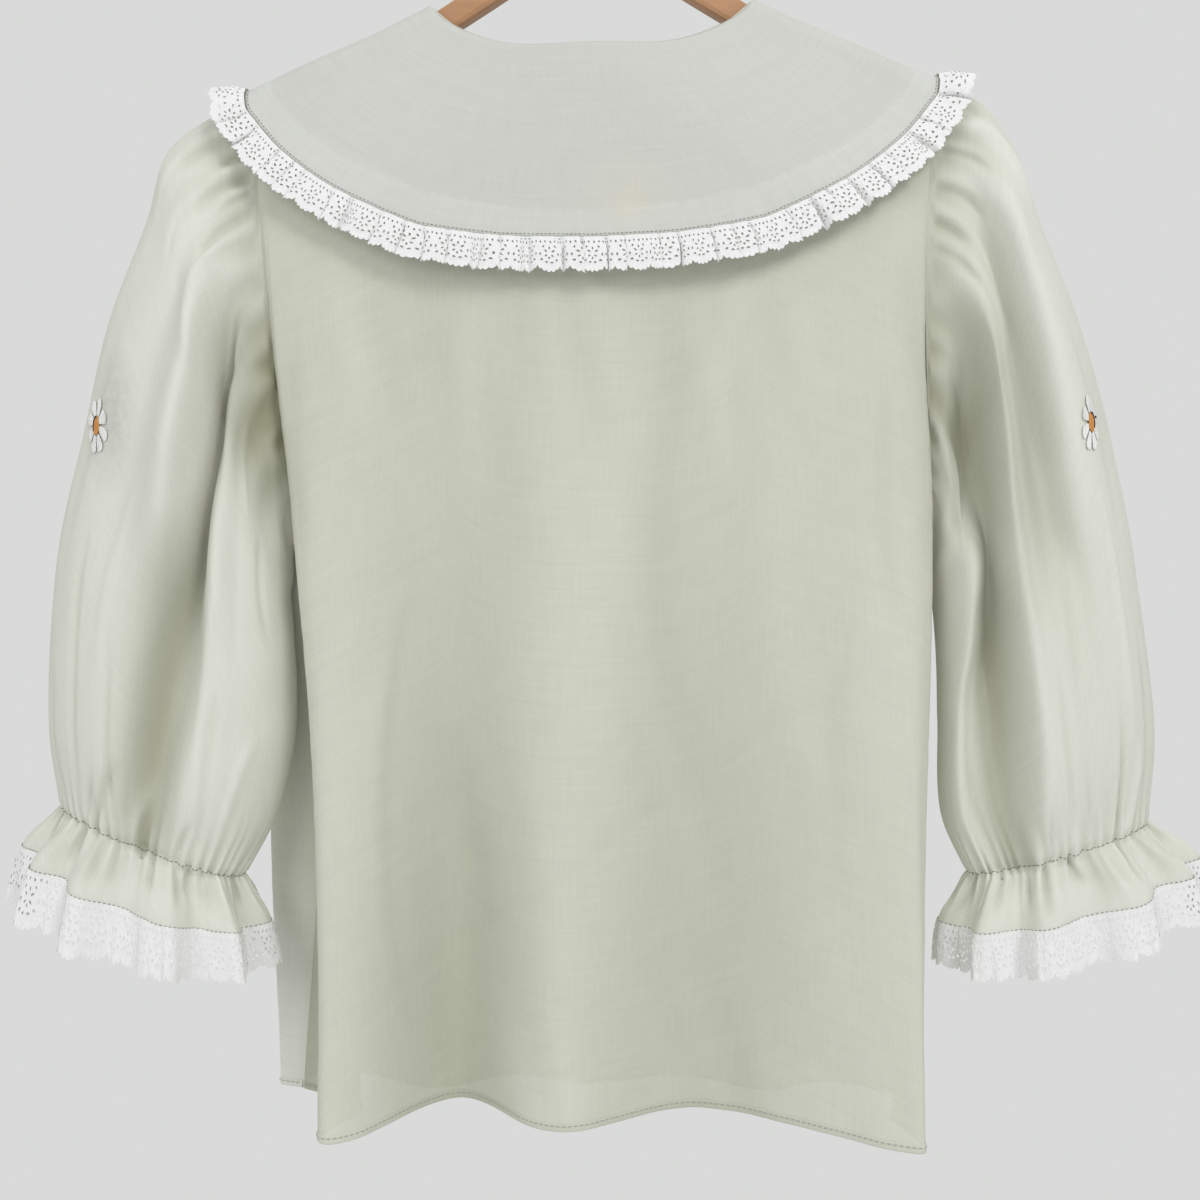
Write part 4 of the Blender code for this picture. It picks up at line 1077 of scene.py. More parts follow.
def gatheredPlace(s, share, gather, length):
    # where the lace's length s lies along the edge, and how high its gathers stand there:
    # boxes of uneven width and depth, which open out from the seam (share 0) to the edge (1)
    grow = 0.3 + 0.7 * rise(share, 0, 0.4)
    phase = s / collarLace["wave"] + collarLace["wander"] * ripple(s, 51, 35, 170)
    boxed, height = boxGather(phase + collarLace["outerWander"] * ripple(s, 53, 24, 90) * share)
    at = s / gather + (boxed - phase) * collarLace["wave"] / gather * grow
    at = at + collarLace["drift"] * ripple(s, 56, 30, 110) * share
    tall = collarLace["stand"] * (1 + collarLace["unevenStand"] * ripple(s, 52, 30, 120))
    atSeam = collarLace["seamRipple"] * ripple(s, 54, 4, 11) * (1 - rise(share, 0.1, 0.6))
    atEdge = collarLace["edgeRipple"] * ripple(s, 57, 7, 26) * rise(share, 0.5, 1)
    swell = tall * height * grow + atSeam + atEdge
    return np.clip(at, 0.02, length - 0.02), swell


def makeCollarLace():
    # the strip's height v runs out from the rim and its length s along it, gathered
    _, outer, out, place = edgeOutward(np.linspace(-1, 1, 6001))
    count = int(round(place[-1] * collarLace["gather"] / lace["repeat"]))
    total = count * lace["repeat"]
    strip, triangles, rim = laceStrip(count)
    s, v = strip.T
    share = v / lace["deep"]
    at, swell = gatheredPlace(s, share, total / place[-1], place[-1])
    edge, away = [np.stack([np.interp(at, place, line) for line in values.T], axis=1)
                  for values in (outer, out)]
    reach = collarLace["start"] + v * (1 - 0.04 * np.abs(ripple(s, 55, 18, 90)))
    space = collar["ease"] + collar["double"] + collarLace["ease"] + collarLace["stand"] * 0.5
    space = space + collarLace["flare"] * share + swell
    flat = edge + away * reach[:, None]
    points = overShoulder(flat, space)
    off = overShoulder(flat, space + 1) - points
    made = laceObject("collarLaceCloth", strip, triangles[:, ::-1], rim, points, off)
    takesPlaceOf("collar_lace")
    print("collar lace made,", len(triangles), "triangles,", round(total), "mm long")


makeCollarLace()


# The sleeves

sleeve = {
    "steps": (0, 0.1, 0.2, 0.35, 0.5, 0.65, 0.8, 0.92, 1),
    # outer line and underarm line as x and height, then how far the back and front stand off
    "left": (
        ("armhole", -197, -176, -172, -429, 10, 12), ("head", -226, -188, -176, -438, 17, 15),
        ("knee", -248, -203, -177, -450, 26, 24), ("upper", -261, -243, -178, -468, 30, 26),
        ("daisy", -284, -305, -176, -492, 31, 27), ("elbow", -299, -372, -174.5, -520, 32, 28),
        ("lower", -315, -450, -177, -560, 34, 29), ("fullest", -318.5, -545, -190, -603, 34, 30),
        ("elastic", -311.3, -588.4, -206.2, -630, 28, 26),
    ),
    "right": (
        ("armhole", 199, -168, 197.5, -429, 10, 12), ("head", 227, -177, 199.5, -438, 17, 15),
        ("knee", 246, -199, 200, -448, 26, 24), ("upper", 264, -248, 200.5, -464, 30, 26),
        ("daisy", 286, -305, 202, -483, 31, 27), ("elbow", 304, -372, 203.5, -508, 32, 28),
        ("lower", 319, -452, 204, -540, 34, 29), ("fullest", 330, -549, 207, -598, 34, 30),
        ("elastic", 325.8, -597.2, 221.9, -628.3, 28, 26),
    ),
    "middleDepth": 5, "fillsOver": 0.3, "seamFade": 0.22, "underarmFade": 1.5, "seam": 0.35,
    "leftSeed": 71, "rightSeed": 81, "leftCuffSeed": 91, "rightCuffSeed": 95,
    "foldSteps": (0, 0.1, 0.2, 0.35, 0.5, 0.65, 0.8, 0.9, 1),
    # where each fold lies from the outer line (0) to the underarm (1) at those steps, then how
    # far it stands out there
    "leftFolds": (
        ("outerLine",) + (0,) * 18,
        ("crest", .18, .20, .25, .27, .28, .26, .20, .17, .16, 0, 2, 4, 6, 6, 6, 4, 2, 0),
        ("crestEdge", .36, .40, .51, .54, .56, .54, .45, .40, .38, 0, 3, 8, 10, 10, 9, 5, 3, 0),
        ("valley", .41, .45, .545, .575, .595, .60, .585, .55, .54,
         0, -4, -9, -12, -12, -12, -12, -11, -5),
        ("bulgeEdge", .47, .51, .59, .625, .64, .655, .70, .68, .69, 0, 0, 0, 2, 4, 5, 5, 5, 2),
        ("bulge", .65, .66, .70, .75, .78, .80, .83, .85, .86, 0, 1, 2, 4, 5, 6, 6, 5, 2),
        ("underarmLine",) + (1,) * 9 + (0,) * 9,
    ),
    "rightFolds": (
        ("outerLine",) + (0,) * 18,
        ("pleatEdge", .15, .18, .25, .27, .33, .34, .28, .25, .23, 0, 3, 6, 7, 6, 5, 2, 1, 0),
        ("pleatFoot", .20, .23, .295, .315, .375, .39, .34, .31, .30, 0, -2, -4, -5, -4, -3, -1, 0, 0),
        ("ridge", .34, .37, .42, .46, .54, .56, .54, .52, .58, 0, 1, 3, 5, 6, 6, 6, 5, 2),
        ("middleEdge", .43, .46, .495, .545, .64, .66, .64, .62, .69, 0, 1, 5, 6, 7, 7, 7, 6, 2),
        ("valley", .48, .51, .54, .595, .68, .705, .70, .69, .75,
         0, -4, -10, -13, -14, -14, -13, -9, -3),
        ("loopFoot", .89, .89, .87, .82, .74, .80, .87, .88, .89, 0, 0, -2, -6, -8, -8, -8, -7, -3),
        ("loopEdge", .93, .93, .92, .88, .81, .87, .94, .95, .95, 0, 0, 0, 2, 6, 5, 3, 2, 0),
        ("underarmLine",) + (1,) * 9 + (0,) * 9,
    ),
    # folds on the side that doesn't show, in the same way
    "frontFolds": (
        ("outerLine",) + (0,) * 18,
        ("ridge", .2, .22, .24, .26, .28, .27, .24, .22, .2, 0, 1, 3, 4, 4, 4, 3, 2, 0),
        ("valley", .38, .4, .42, .45, .47, .46, .43, .4, .4, 0, -1, -3, -4, -4, -4, -3, -2, 0),
        ("swell", .6, .62, .65, .68, .7, .72, .7, .68, .66, 0, 1, 2, 4, 4, 4, 3, 2, 0),
        ("underarmLine",) + (1,) * 9 + (0,) * 9,
    ),
    # soft creases, as place down and across of both ends, half width and height
    "leftCreases": (
        (-0.02, 0.105, 0.21, 0.075, 0.017, -3.6), (-0.03, 0.145, 0.11, 0.135, 0.012, -2.6),
        (-0.02, 0.195, 0.17, 0.20, 0.015, -3.4), (-0.02, 0.225, 0.10, 0.245, 0.010, -2.4),
        (-0.02, 0.27, 0.20, 0.33, 0.014, -2.2), (-0.01, 0.05, 0.12, 0.035, 0.012, -1.6),
        (0.02, 0.16, 0.30, 0.10, 0.020, 1.6), (0.01, 0.24, 0.34, 0.20, 0.018, -1.5),
        (0.01, 0.31, 0.26, 0.36, 0.016, 1.5), (0.05, 0.55, 0.45, 0.66, 0.020, -1.3),
        (0.10, 0.68, 0.38, 0.80, 0.020, 1.2), (0.30, 0.86, 0.62, 0.92, 0.018, -1.2),
        (0.45, 0.10, 0.85, 0.08, 0.025, -1.0), (0.55, 0.36, 0.90, 0.28, 0.022, 1.3),
        (0.70, 0.16, 0.99, 0.22, 0.016, -1.5), (0.74, 0.74, 0.99, 0.80, 0.020, -1.4),
        (0.78, 0.90, 0.97, 0.84, 0.018, 1.2), (0.80, 0.33, 1.0, 0.40, 0.014, -1.6),
        (0.60, 0.70, 0.92, 0.72, 0.022, 1.1), (0.85, 0.05, 1.0, 0.10, 0.012, -1.3),
        (0.90, 0.42, 1.05, 0.21, 0.013, -2.6), (0.92, 0.30, 1.06, 0.17, 0.010, -1.8),
        (0.90, 0.57, 1.05, 0.40, 0.020, 2.2), (0.92, 0.76, 1.06, 0.66, 0.012, -1.8),
    ),
    "rightCreases": (
        (-0.02, 0.06, 0.12, 0.05, 0.012, -1.8), (-0.02, 0.16, 0.14, 0.165, 0.012, -2.4),
        (-0.02, 0.24, 0.16, 0.26, 0.013, -2.6), (-0.02, 0.32, 0.12, 0.345, 0.012, -2.2),
        (-0.02, 0.38, 0.15, 0.41, 0.012, -1.8),
        (0.02, 0.10, 0.32, 0.07, 0.018, 1.4), (0.01, 0.30, 0.24, 0.36, 0.016, 1.5),
        (0.02, 0.40, 0.30, 0.44, 0.016, -1.4), (0.06, 0.62, 0.40, 0.72, 0.020, -1.2),
        (0.12, 0.74, 0.42, 0.84, 0.018, 1.1), (0.40, 0.14, 0.80, 0.12, 0.025, -1.0),
        (0.55, 0.45, 0.92, 0.42, 0.022, -1.2), (0.62, 0.22, 0.95, 0.17, 0.020, 1.2),
        (0.72, 0.80, 0.99, 0.78, 0.020, 1.2), (0.80, 0.52, 1.0, 0.50, 0.014, -1.5),
        (0.82, 0.08, 1.0, 0.12, 0.012, -1.6), (0.84, 0.90, 1.0, 0.86, 0.014, -1.2),
        (0.86, 0.22, 1.06, 0.30, 0.011, -2.2), (0.90, 0.12, 1.04, 0.26, 0.016, 1.8),
        (0.92, 0.60, 1.06, 0.66, 0.010, -1.8), (0.90, 0.42, 1.05, 0.40, 0.010, -1.5),
    ),
    # painted shade where the cloth lies in its own shade, written like the creases
    "leftShade": ((-0.15, 0.76, 0.46, 0.78, 0.16, 0.34), (-0.16, 0.60, 0.32, 0.84, 0.17, 0.46),
                  (0.42, 0.57, 1.30, 0.56, 0.11, 0.60)),
    "rightShade": ((-0.25, 0.74, 0.92, 0.68, 0.24, 0.39), (0.55, 0.78, 1.25, 0.84, 0.08, 0.48),
                   (0.10, 0.42, 0.80, 0.58, 0.09, 0.25)),
    # painted shade in valleys, small creases, at both side lines and between the cuff's gathers;
    # painted highlight on crests
    "tone": 0.07, "heightPerShade": 90, "reliefShade": 0.08, "rimTone": 0.06, "gatherShade": 0.12,
    "seamShade": 0.32, "seamReach": 0.075,
    "headGathers": 34, "headGather": 0.9, "softGathers": 15, "softGather": 1.3,
    "unevenness": 0.7,
    "cuffGathers": 46, "cuffGather": 1.35, "cuffReach": 17, "cuffWander": 2.2, "cuffUneven": 0.45,
    "pinch": 1.0, "pinchReach": 3.0,
    # rings of seam allowance: how far in from the body's edge, in folds, and how far under it
    "allowance": (0.42, 0.2), "allowanceUnder": 0.9, "allowanceBelow": 0.5,
    "columns": 300,
}

frill = {
    "steps": (0, 0.3, 1, 1.03, 1.9),
    # outer x and height, inner x and height, half depth, how far the near side hangs lower and
    # how far the waves stand out
    "left": (
        ("elastic", -311.3, -588.4, -206.2, -630, 28, 3.5, 1.2),
        ("bulge", -317, -595, -203, -638, 30, 5, 3),
        ("frillEdge", -329.5, -611, -195, -657, 36, 9.5, 5.5),
        ("laceTop", -329.8, -611.8, -194.8, -657.8, 36, 9.5, 5.5),
        ("laceEdge", -337, -644, -190, -683.5, 40, 13, 7),
    ),
    "right": (
        ("elastic", 325.8, -597.2, 221.9, -628.3, 28, 3.5, 1.2),
        ("bulge", 334, -603, 218, -637, 30, 5, 3),
        ("frillEdge", 351.6, -617.7, 209.5, -656.5, 36, 9.5, 5.5),
        ("laceTop", 351.8, -618.5, 209.3, -657.3, 36, 9.5, 5.5),
        ("laceEdge", 356, -643, 208.6, -683, 40, 13, 7),
    ),
    "waves": 10, "wander": 0.9, "leftWander": 61, "rightWander": 62,
    "pleats": 26, "pleatDeep": 2.3, "pleatWide": 0.05, "leftSeed": 131, "rightSeed": 137,
    # painted shade in the pleats
    "tone": 0.09, "pleatShade": 0.40,
}

cuffStitches = {
    "shirring": {"lift": 0.35, "stitch": 1.9, "gap": 0.75, "thread": 0.27},
    "frillseam": {"lift": 0.4, "stitch": 1.8, "gap": 0.9, "thread": 0.22},
}

# rows down the sleeve and down its frill
sleeveRows = np.concatenate([[0, 0.003, 0.007, 0.012, 0.018, 0.025],
                             np.linspace(0.033, 0.94, 170), np.linspace(0.945, 1, 22)])
frillRows = np.concatenate([np.linspace(0.03, 0.3, 12), np.linspace(0.34, 1, 24)])


def ofSide(table, side, part=""):
    # the left (side -1) or the right (side 1) entry of a dictionary
    return table[("left" if side < 0 else "right") + part]


def acrossRing(angle):
    # from the outer line (0) over to the underarm (1) and back: half of one less the cosine
    return (1 - np.cos(angle)) / 2


def betweenLines(line, share):
    # x and height between the outer line and the underarm line
    x = line[..., 0] + (line[..., 2] - line[..., 0]) * share
    z = line[..., 1] + (line[..., 3] - line[..., 1]) * share
    return x, z


def foldHeight(folds, down, share):
    # for each row, a smooth curve across the sleeve through the folds' places and heights
    steps = len(sleeve["foldSteps"])
    table = np.array([row[1:] for row in folds], float).T
    places = smooth(sleeve["foldSteps"], table[:steps], down)
    heights = smooth(sleeve["foldSteps"], table[steps:], down)
    return np.array([smooth(p, h, s) for p, h, s in zip(places, heights, share)])


def sideLines(side, inward, rows):
    # lines down the back's and the front's side edge, some share of a fold inward
    lines = []
    for facing in (-1, 1):
        number = inward if side < 0 else len(ofPanel(facing, "Folds")) - 1 - inward
        lines.append(bodyPoints(facing, np.array([number]), rows)[:, 0])
    return lines


def armholeLine(side, share, near):
    # the seam on the body from the shoulder (0) to the underarm (1)
    rows = np.concatenate([bodyRows[:1], np.geomspace(0.0008, body["underarm"], 60)])
    at = share * body["underarm"]
    ends = [np.stack([np.interp(at, rows, v) for v in line.T], axis=-1)
            for line in sideLines(side, 0, rows)]
    seam = np.where(near[..., None], ends[0], ends[1])
    seam[..., 0] += side * sleeve["seam"] * (1 + 2.5 * share)
    return seam


def sleevePoints(side, down, angle):
    # rings from the armhole to the elastic: x and height run between the outer line and the
    # underarm line, depth follows the angle's sine with the folds on top, and near the armhole
    # the ring eases into the seam on the body
    table = np.array([row[1:] for row in ofSide(sleeve, side)], float)
    line = smooth(sleeve["steps"], table, down)[:, None, :]
    share = acrossRing(angle)
    x, z = betweenLines(line, share)
    roundDepth = np.sin(angle)
    near = roundDepth > 0
    filled = rise(down, 0, sleeve["fillsOver"])[:, None]
    y = sleeve["middleDepth"] * filled - np.where(near, line[..., 4], line[..., 5]) * roundDepth
    y = y - np.where(near, foldHeight(ofSide(sleeve, side, "Folds"), down, share), 0)
    y = y + np.where(near, 0, foldHeight(sleeve["frontFolds"], down, share))
    points = np.stack([x, y, z], axis=-1)
    startX, startZ = betweenLines(table[0], share)
    startDepth = np.where(near, table[0, 4], table[0, 5])
    start = np.stack([startX, -startDepth * roundDepth, startZ], axis=-1)
    hold = np.empty(points.shape)
    hold[...] = 1 - ease(down / sleeve["seamFade"])[:, None, None]
    depthFade = sleeve["seamFade"] * (1 + sleeve["underarmFade"] * share)
    hold[..., 1] = 1 - ease(down[:, None] / depthFade)
    return points + (armholeLine(side, share, near) - start) * hold


def frillPoints(side, down, angle):
    # rings below the elastic, widened and waved by the cosine of ten times the angle, whose
    # phase wanders a little
    table = np.array([row[1:] for row in ofSide(frill, side)], float)
    line = smooth(frill["steps"], table, down)[:, None, :]
    wander = ripple(angle * 20, ofSide(frill, side, "Wander"), 30, 90)
    swell = line[..., 6] * np.cos(frill["waves"] * angle + frill["wander"] * wander)
    middle = (line[..., 0] + line[..., 2]) / 2
    x, z = betweenLines(line, acrossRing(angle))
    x = x + swell * (x - middle) / np.abs(line[..., 0] - middle)
    z = z - line[..., 5] * np.sin(angle)
    y = sleeve["middleDepth"] - (line[..., 4] + swell) * np.sin(angle)
    return np.stack([x, y, z], axis=-1)


def ringAngles(down):
    # columns that lie evenly down the armhole at the head, and evenly round the ring lower down
    half = sleeve["columns"] // 2
    even = np.arange(half) / half * math.pi
    place = np.linspace(0, 1, half, endpoint=False)
    head = np.arccos(1 - 2 * (0.35 * place**2 + 0.65 * place**1.4))
    free = ease(np.clip(np.asarray(down, float) / 0.8, 0, 1))[:, None]
    near = head[None] * (1 - free) + even[None] * free
    mirrored = np.concatenate([np.full((len(free), 1), math.pi), near[:, :0:-1]], axis=1)
    return np.concatenate([near, 2 * math.pi - mirrored], axis=1)


def sleeveRelief(side, down, angle):
    # small form on the sleeve: creases, gathers that spread from the head, unevenness
    share, below = acrossRing(angle), np.broadcast_to(down[:, None], angle.shape)
    seen = ofSide(sleeve, side, "Creases")
    hidden = tuple((a, b + 0.04, c, d + 0.05, e, f) for a, b, c, d, e, f in seen)
    height = np.where(np.sin(angle) > 0, creaseHeight(below, share, seen),
                      creaseHeight(below, share, hidden))
    height = height * rise(below, 0, 0.02)
    seed = ofSide(sleeve, side, "Seed")
    upper = rise(share, 0.01, 0.07) * (1 - rise(share, 0.78, 0.97))
    fine = np.sin(sleeve["headGathers"] * angle + 1.6 * ripple(angle * 30, seed, 14, 60))
    fine = fine * (1 + 0.4 * ripple(angle * 30, seed + 1, 10, 50))
    fine = sleeve["headGather"] * fine * upper
    height = height + fine * rise(below, 0, 0.012) * (1 - rise(below, 0.03, 0.13))
    soft = np.sin(sleeve["softGathers"] * angle + 1.3 * ripple(angle * 30, seed + 2, 25, 90))
    soft = sleeve["softGather"] * soft * upper
    height = height + soft * rise(below, 0.02, 0.08) * (1 - rise(below, 0.12, 0.42))
    uneven = ripple(angle * 40 + below * 60, seed + 3, 22, 90)
    uneven = uneven * ripple(below * 400, seed + 4, 90, 300)
    uneven = sleeve["unevenness"] * uneven
    return height + uneven * rise(below, 0.1, 0.3) * (1 - rise(below, 0.85, 0.97))


def cuffGathers(side, angle):
    # fine gathers round the cuff: a sine whose phase and height wander
    seed = ofSide(sleeve, side, "CuffSeed")
    wander = sleeve["cuffWander"] * ripple(angle * 40, seed, 12, 70)
    wave = np.sin(sleeve["cuffGathers"] * angle + wander)
    return wave * (1 + sleeve["cuffUneven"] * ripple(angle * 40, seed + 1, 9, 40))


def frillPleats(side, down, angle):
    # sharp uneven pleats that start at the elastic: bells across the frill at drawn angles, each
    # drifting a little and fading out before the frill's edge
    random = np.random.default_rng(ofSide(frill, side, "Seed"))
    total = np.zeros(np.broadcast(down[:, None], angle).shape)
    for k in range(frill["pleats"]):
        at = 2 * math.pi * (k + random.uniform(-0.38, 0.38)) / frill["pleats"]
        drift, deep = random.uniform(-0.12, 0.12), random.uniform(0.3, 1.0)
        ends, wide = random.uniform(0.55, 0.98), random.uniform(0.6, 1.4)
        off = np.angle(np.exp(1j * (angle - at - drift * down[:, None])))
        bell = np.exp(-(off / (frill["pleatWide"] * wide * (0.7 + 0.8 * down[:, None])))**2)
        total += deep * bell * (1 - rise(down, ends * 0.45, ends))[:, None]
    return total


def sleevePaintedShade(side, angle, relief):
    # painted shade: darker in valleys, where the cloth lies in its own shade, at the seam and at both
    # side lines; painted highlight: lighter on crests
    down, share, near = sleeveRows, acrossRing(angle), np.sin(angle) > 0
    folds = foldHeight(ofSide(sleeve, side, "Folds"), down, share)
    seen = rise(down, 0, 0.1)[:, None] * near
    inShade = creaseHeight(np.broadcast_to(down[:, None], share.shape), share,
                           ofSide(sleeve, side, "Shade"))
    inShade += sleeve["seamShade"] * np.exp(-(down / sleeve["seamReach"])**2)[:, None]
    tone = sleeve["tone"] - seen * folds / sleeve["heightPerShade"] + near * inShade
    return tone - sleeve["reliefShade"] * relief + sleeve["rimTone"] * (1 - np.abs(np.sin(angle)))


def seamAllowance(side, angle):
    # rings that lie under the body's edge and show through it
    rows = acrossRing(angle) * body["underarm"]
    order = np.argsort(rows)
    rings = []
    for inward in sleeve["allowance"]:
        ends = []
        for facing, line in zip((-1, 1), sideLines(side, inward, rows[order] + bodyRows[0])):
            line[:, 1] -= facing * sleeve["allowanceUnder"]
            line[:, 2] -= sleeve["allowanceBelow"]
            ends.append(line[np.argsort(order)])
        rings.append(np.where((np.sin(angle) > 0)[:, None], ends[0], ends[1]))
    return np.stack(rings)


def makeCuffStitches(side, word, grid):
    # one row on the elastic and one along the frill's edge
    normals = gridNormals(grid, ring=True) * -side
    elastic = len(sleeve["allowance"]) + len(sleeveRows) - 1
    rows = []
    for name, number in (("shirring", elastic), ("frillseam", len(grid) - 1)):
        row = cuffStitches[name]
        path = grid[number] + normals[number] * row["lift"]
        path = np.concatenate([path, path[:1]])
        up = np.concatenate([normals[number], normals[number][:1]])
        rows.append(stitchRow(name + word, path, up, row, shirringThread))
    return rows


def makeSleeve(side, word, node):
    # the allowance, the puff and the frill as one grid of rings; gathers and a pinch at the
    # elastic fade with the distance from it along the cloth
    angle, frillAngle = ringAngles(sleeveRows), ringAngles(np.ones(len(frillRows)))
    grid = np.concatenate([sleevePoints(side, sleeveRows, angle),
                           frillPoints(side, frillRows, frillAngle)])
    steps = np.linalg.norm(np.diff(grid, axis=0), axis=-1)
    place = np.concatenate([np.zeros((1, grid.shape[1])), np.cumsum(steps, axis=0)])
    fromElastic = np.abs(place - place[len(sleeveRows) - 1][None])
    gathered = cuffGathers(side, np.concatenate([angle, frillAngle]))
    gathered = gathered * np.exp(-(fromElastic / sleeve["cuffReach"])**1.3)
    small = sleeveRelief(side, sleeveRows, angle)
    pleats = frillPleats(side, frillRows, frillAngle)
    relief = np.concatenate([small, -frill["pleatDeep"] * pleats])
    relief = relief + sleeve["cuffGather"] * gathered
    relief = relief - sleeve["pinch"] * np.exp(-(fromElastic / sleeve["pinchReach"])**2)
    normals = gridNormals(grid, ring=True) * -side
    hidden = seamAllowance(side, angle[0])
    grid = np.concatenate([hidden, grid + normals * relief[..., None]])
    # painted shade on the sleeve and in the frill's pleats, painted highlight on the cuff's gathers
    # and shade between them
    tone = sleevePaintedShade(side, angle, small)
    tone = np.concatenate([tone[:1]] * len(hidden)
                          + [tone, frill["tone"] + frill["pleatShade"] * pleats])
    tone[len(hidden):] -= sleeve["gatherShade"] * gathered
    cloth = gridObject(f"sleeve{word}Cloth", grid, sleeveCotton, ring=True, turned=side > 0,
                       tone=tone)
    takesPlaceOf(node)
    makeCuffStitches(side, word, grid)


cuffLace = {
    "gather": 1.38, "wave": 2.0, "waves": 23, "ease": 0.5, "reach": 0.86,
    "slowWander": 1.4, "quickWander": 0.8, "lean": 0.010, "leftSeed": 101, "rightSeed": 111,
}


def closedRing(strip, triangles, joined):
    # the last repeat's far points become the first's near ones: which points stay, and the
    # triangles between them
    starts = {round(float(strip[i, 1]), 3): i for i in np.where(strip[:, 0] < 1e-6)[0]}
    target = np.arange(len(strip))
    for i in np.where(joined)[0]:
        target[i] = starts[round(float(strip[i, 1]), 3)]
    number = np.cumsum(~joined) - 1
    return ~joined, number[target[triangles]]


def makeCuffLace(side, word, node):
    # lace round the frill's edge: the frill's own waves carried on, with smaller ones on them
    turn = np.linspace(0, 2 * math.pi, 2001)
    ring = frillPoints(side, np.array([1.4]), turn[None])[0]
    length = np.linalg.norm(np.diff(ring, axis=0), axis=1).sum()
    count = int(round(length * cuffLace["gather"] / lace["repeat"]))
    total = count * lace["repeat"]
    strip, triangles, rim = laceStrip(count)
    s, v = strip.T
    joined = np.isclose(s, total)
    share = v / lace["deep"]
    angle = 2 * math.pi * np.where(joined, 0.0, s) / total
    seed = ofSide(cuffLace, side, "Seed")
    phase = cuffLace["waves"] * angle + cuffLace["slowWander"] * np.sin(3 * angle + seed)
    phase = phase + cuffLace["quickWander"] * np.sin(7 * angle + seed)
    grow = 0.25 + 0.75 * share
    angle = angle - cuffLace["lean"] * np.sin(2 * phase) * grow
    points = frillPoints(side, 1.0 + cuffLace["reach"] * share, angle[:, None])[:, 0]
    middleX = (points[:, 0].min() + points[:, 0].max()) / 2
    outward = (points - np.array([middleX, sleeve["middleDepth"], 0])) * np.array([0.4, 1.0, 0.0])
    outward /= np.linalg.norm(outward, axis=1, keepdims=True)
    swell = cuffLace["wave"] * np.tanh(1.4 * np.sin(phase)) * grow
    points = points + outward * (swell + cuffLace["ease"])[:, None]
    keep, triangles = closedRing(strip, triangles, joined)
    if side < 0:
        triangles = triangles[:, ::-1]
    made = laceObject(f"cuffLace{word}Cloth", strip[keep], triangles, rim[keep], points[keep],
                      outward[keep])
    takesPlaceOf(node)
    print("cuff lace made,", len(triangles), "triangles,", round(total), "mm long")


for side, word in ((-1, "Left"), (1, "Right")):
    makeSleeve(side, word, f"sleeve_{word.lower()}")
    makeCuffLace(side, word, f"cuff_lace_{word.lower()}")
print("sleeves made")


# Daisies worked in satin stitch on the sleeves

daisy = {
    "left": (0.61, 0.62), "right": (0.585, 0.85), "leftSeed": 7, "rightSeed": 8,
    "petals": 8, "inner": 4.9, "outer": 14.0, "wide": 6.4, "strands": 17, "tipRound": 2.6,
    "turnedBy": 0.25, "unevenTurn": 0.06, "foot": 0.45, "footIn": 0.5,
    "thread": 0.27, "lift": 0.9,
    "eye": 4.6, "eyeStrands": 24, "eyeThread": 0.3, "eyeLift": 1.25,
    "rimThread": 0.36, "rimLift": 1.52,
    # the right daisy's loose end: start and end beside the centre
    "tail": ((1.5, -5.0), (2.6, -9.0)), "tailThread": 0.14, "tailLift": 1.4,
    "knot": 0.35, "knotThread": 0.6, "knotLift": 1.5,
}


def onSleeve(side, place, a, b, lift):
    # points at a (down) and b (round) millimetres from the daisy's centre, lifted off the cloth
    small = 0.002
    centreDown, centreAngle = place
    at, turn = np.array([centreDown]), np.array([[centreAngle]])
    middle = sleevePoints(side, at, turn)[0, 0]
    stepDown = (sleevePoints(side, at + small, turn)[0, 0] - middle) / small
    stepRound = (sleevePoints(side, at, turn + small)[0, 0] - middle) / small
    down = centreDown + a / np.linalg.norm(stepDown)
    angle = (centreAngle + b / np.linalg.norm(stepRound))[:, None]
    points = sleevePoints(side, down, angle)[:, 0]
    right = sleevePoints(side, down, angle + small)[:, 0] - points
    below = sleevePoints(side, down + small, angle)[:, 0] - points
    normal = np.cross(right, below) * side
    normal /= np.linalg.norm(normal, axis=1, keepdims=True)
    return points + normal * (sleeveRelief(side, down, angle) + lift), normal


def threadsBetween(name, side, ends, look, lift, radius):
    # threads laid on the sleeve between pairs of points, each a row of four overlapping spindles
    start, end = ends
    place = ofSide(daisy, side)
    shares = np.array([0.14, 0.38, 0.62, 0.86])
    a, b = [start[:, None, i] + (end - start)[:, None, i] * shares for i in (0, 1)]
    centres, up = onSleeve(side, place, a.ravel(), b.ravel(), lift)
    away = (end - start) / np.linalg.norm(end - start, axis=1, keepdims=True) * 0.1
    further = onSleeve(side, place, (a + away[:, None, 0]).ravel(),
                       (b + away[:, None, 1]).ravel(), lift)[0]
    along = further - centres
    along /= np.linalg.norm(along, axis=1, keepdims=True)
    length = np.repeat(np.linalg.norm(end - start, axis=1) * 0.42, len(shares))
    return spindles(name, centres, along, up, length, radius, look, 0.9)


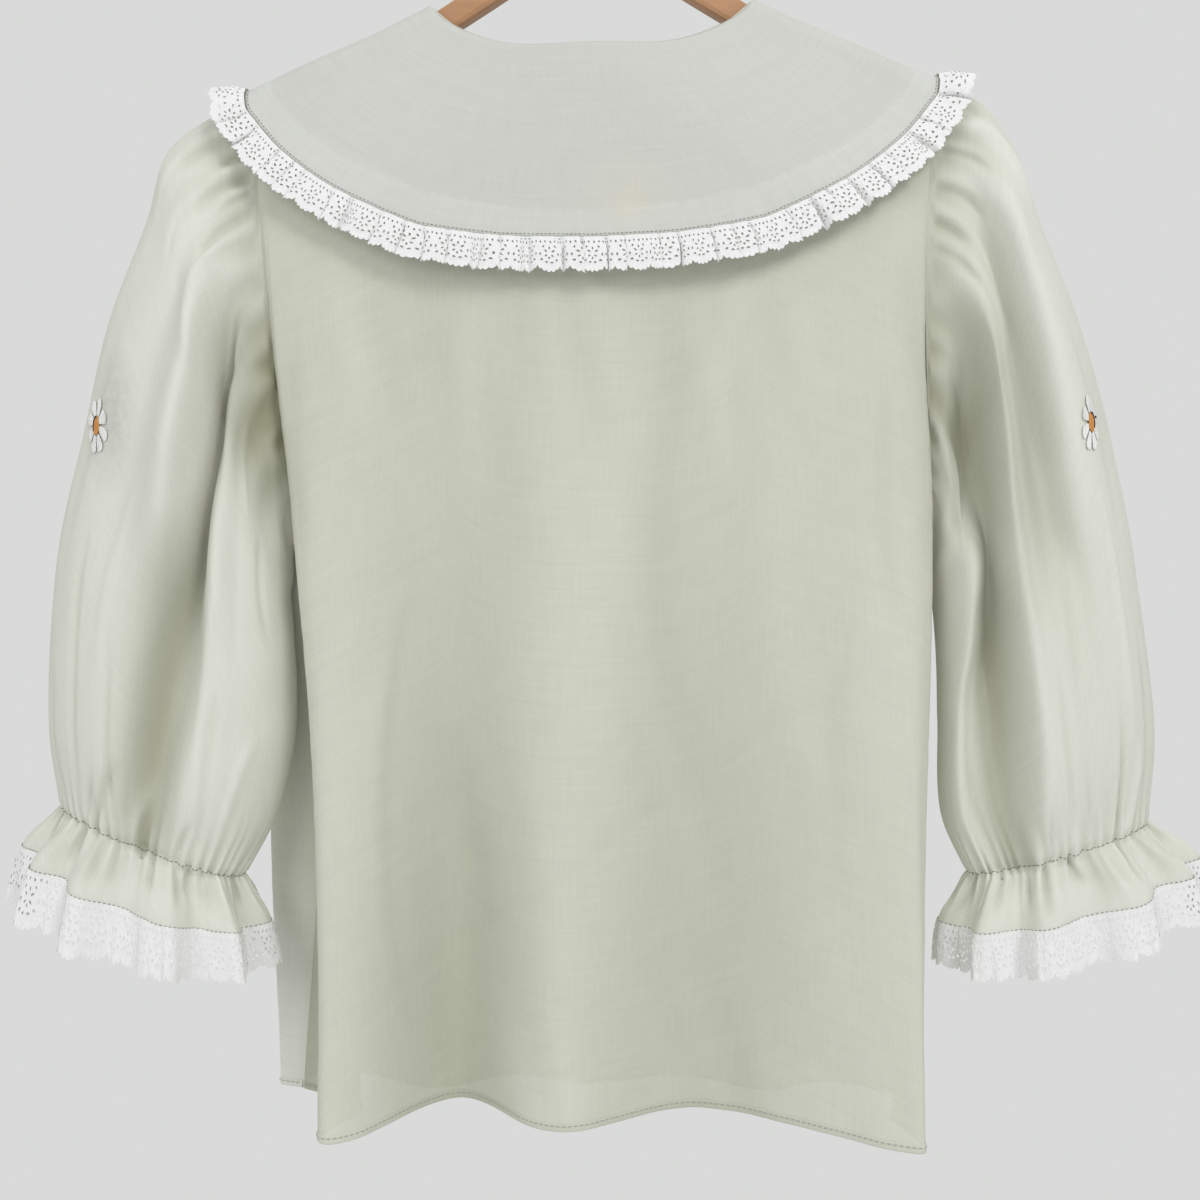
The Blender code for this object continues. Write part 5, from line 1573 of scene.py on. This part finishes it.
def petalEnds(side):
    # threads side by side from the eye out, their outer ends on a rounded outline
    random = np.random.default_rng(ofSide(daisy, side, "Seed"))
    across = np.linspace(-1, 1, daisy["strands"])
    half = daisy["wide"] / 2
    starts, ends = [], []
    for k in range(daisy["petals"]):
        turn = 2 * math.pi * (k + daisy["turnedBy"]) / daisy["petals"]
        turn = turn + random.uniform(-daisy["unevenTurn"], daisy["unevenTurn"])
        reach = daisy["outer"] * random.uniform(0.93, 1.0)
        out = np.array([math.cos(turn), math.sin(turn)])
        beside = np.array([-out[1], out[0]])
        inner = daisy["inner"] + daisy["footIn"] * np.abs(across)
        inner = inner + random.uniform(-0.15, 0.15, len(across))
        outer = reach - daisy["tipRound"] * (1 - np.sqrt(1 - 0.92 * across**2))
        outer = outer + random.uniform(-0.2, 0.2, len(across))
        starts.append(out * inner[:, None] + beside * (across * half * daisy["foot"])[:, None])
        ends.append(out * outer[:, None] + beside * (across * half)[:, None])
    return np.concatenate(starts), np.concatenate(ends)


def eyeEnds():
    # threads across a disc
    across = np.linspace(-0.97, 0.97, daisy["eyeStrands"]) * daisy["eye"]
    half = np.sqrt(daisy["eye"]**2 - across**2)
    return np.stack([-half, across], axis=1), np.stack([half, across], axis=1)


def rimEnds():
    # two rows along part of the eye's outer rim
    turn = np.linspace(-1.25, 1.25, 15) + math.pi * 1.5
    rim = np.stack([np.cos(turn), np.sin(turn)], axis=1) * daisy["eye"] * 0.86
    rows = [line * 1.02 for line in (rim[:-1], rim[1:])]
    return [np.concatenate([row, row * 1.14]) for row in rows]


def makeDaisy(side, word):
    # petals and eye in laid threads, a dark rim, and on the right one a loose end with a knot
    petals = threadsBetween("daisyPetals" + word, side, petalEnds(side), petalThread,
                            daisy["lift"], daisy["thread"])
    takesPlaceOf(f"daisy_petals_{word.lower()}")
    eye = threadsBetween("daisyEye" + word, side, eyeEnds(), yolkThread, daisy["eyeLift"],
                         daisy["eyeThread"])
    takesPlaceOf(f"daisy_eye_{word.lower()}")
    dark = [threadsBetween("daisyRim" + word, side, rimEnds(), darkThreadAndHoleShade, daisy["rimLift"],
                           daisy["rimThread"])]
    if side > 0:
        tail = [np.array([end]) for end in daisy["tail"]]
        knot = [tail[1] - daisy["knot"], tail[1] + daisy["knot"]]
        dark += [threadsBetween("daisyTail", side, tail, seamThread, daisy["tailLift"],
                                daisy["tailThread"]),
                 threadsBetween("daisyKnot", side, knot, darkThreadAndHoleShade, daisy["knotLift"],
                                daisy["knotThread"])]


for side, word in ((-1, "Left"), (1, "Right")):
    makeDaisy(side, word)
print("daisies made")


# The hanger keeps its CAD solids and gets their finish

for node, look in (("hanger", beech), ("hanger_hook", wire)):
    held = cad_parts[node]
    held.data.materials.clear()
    held.data.materials.append(look)
print("hanger finished")

bpy.context.view_layer.update()
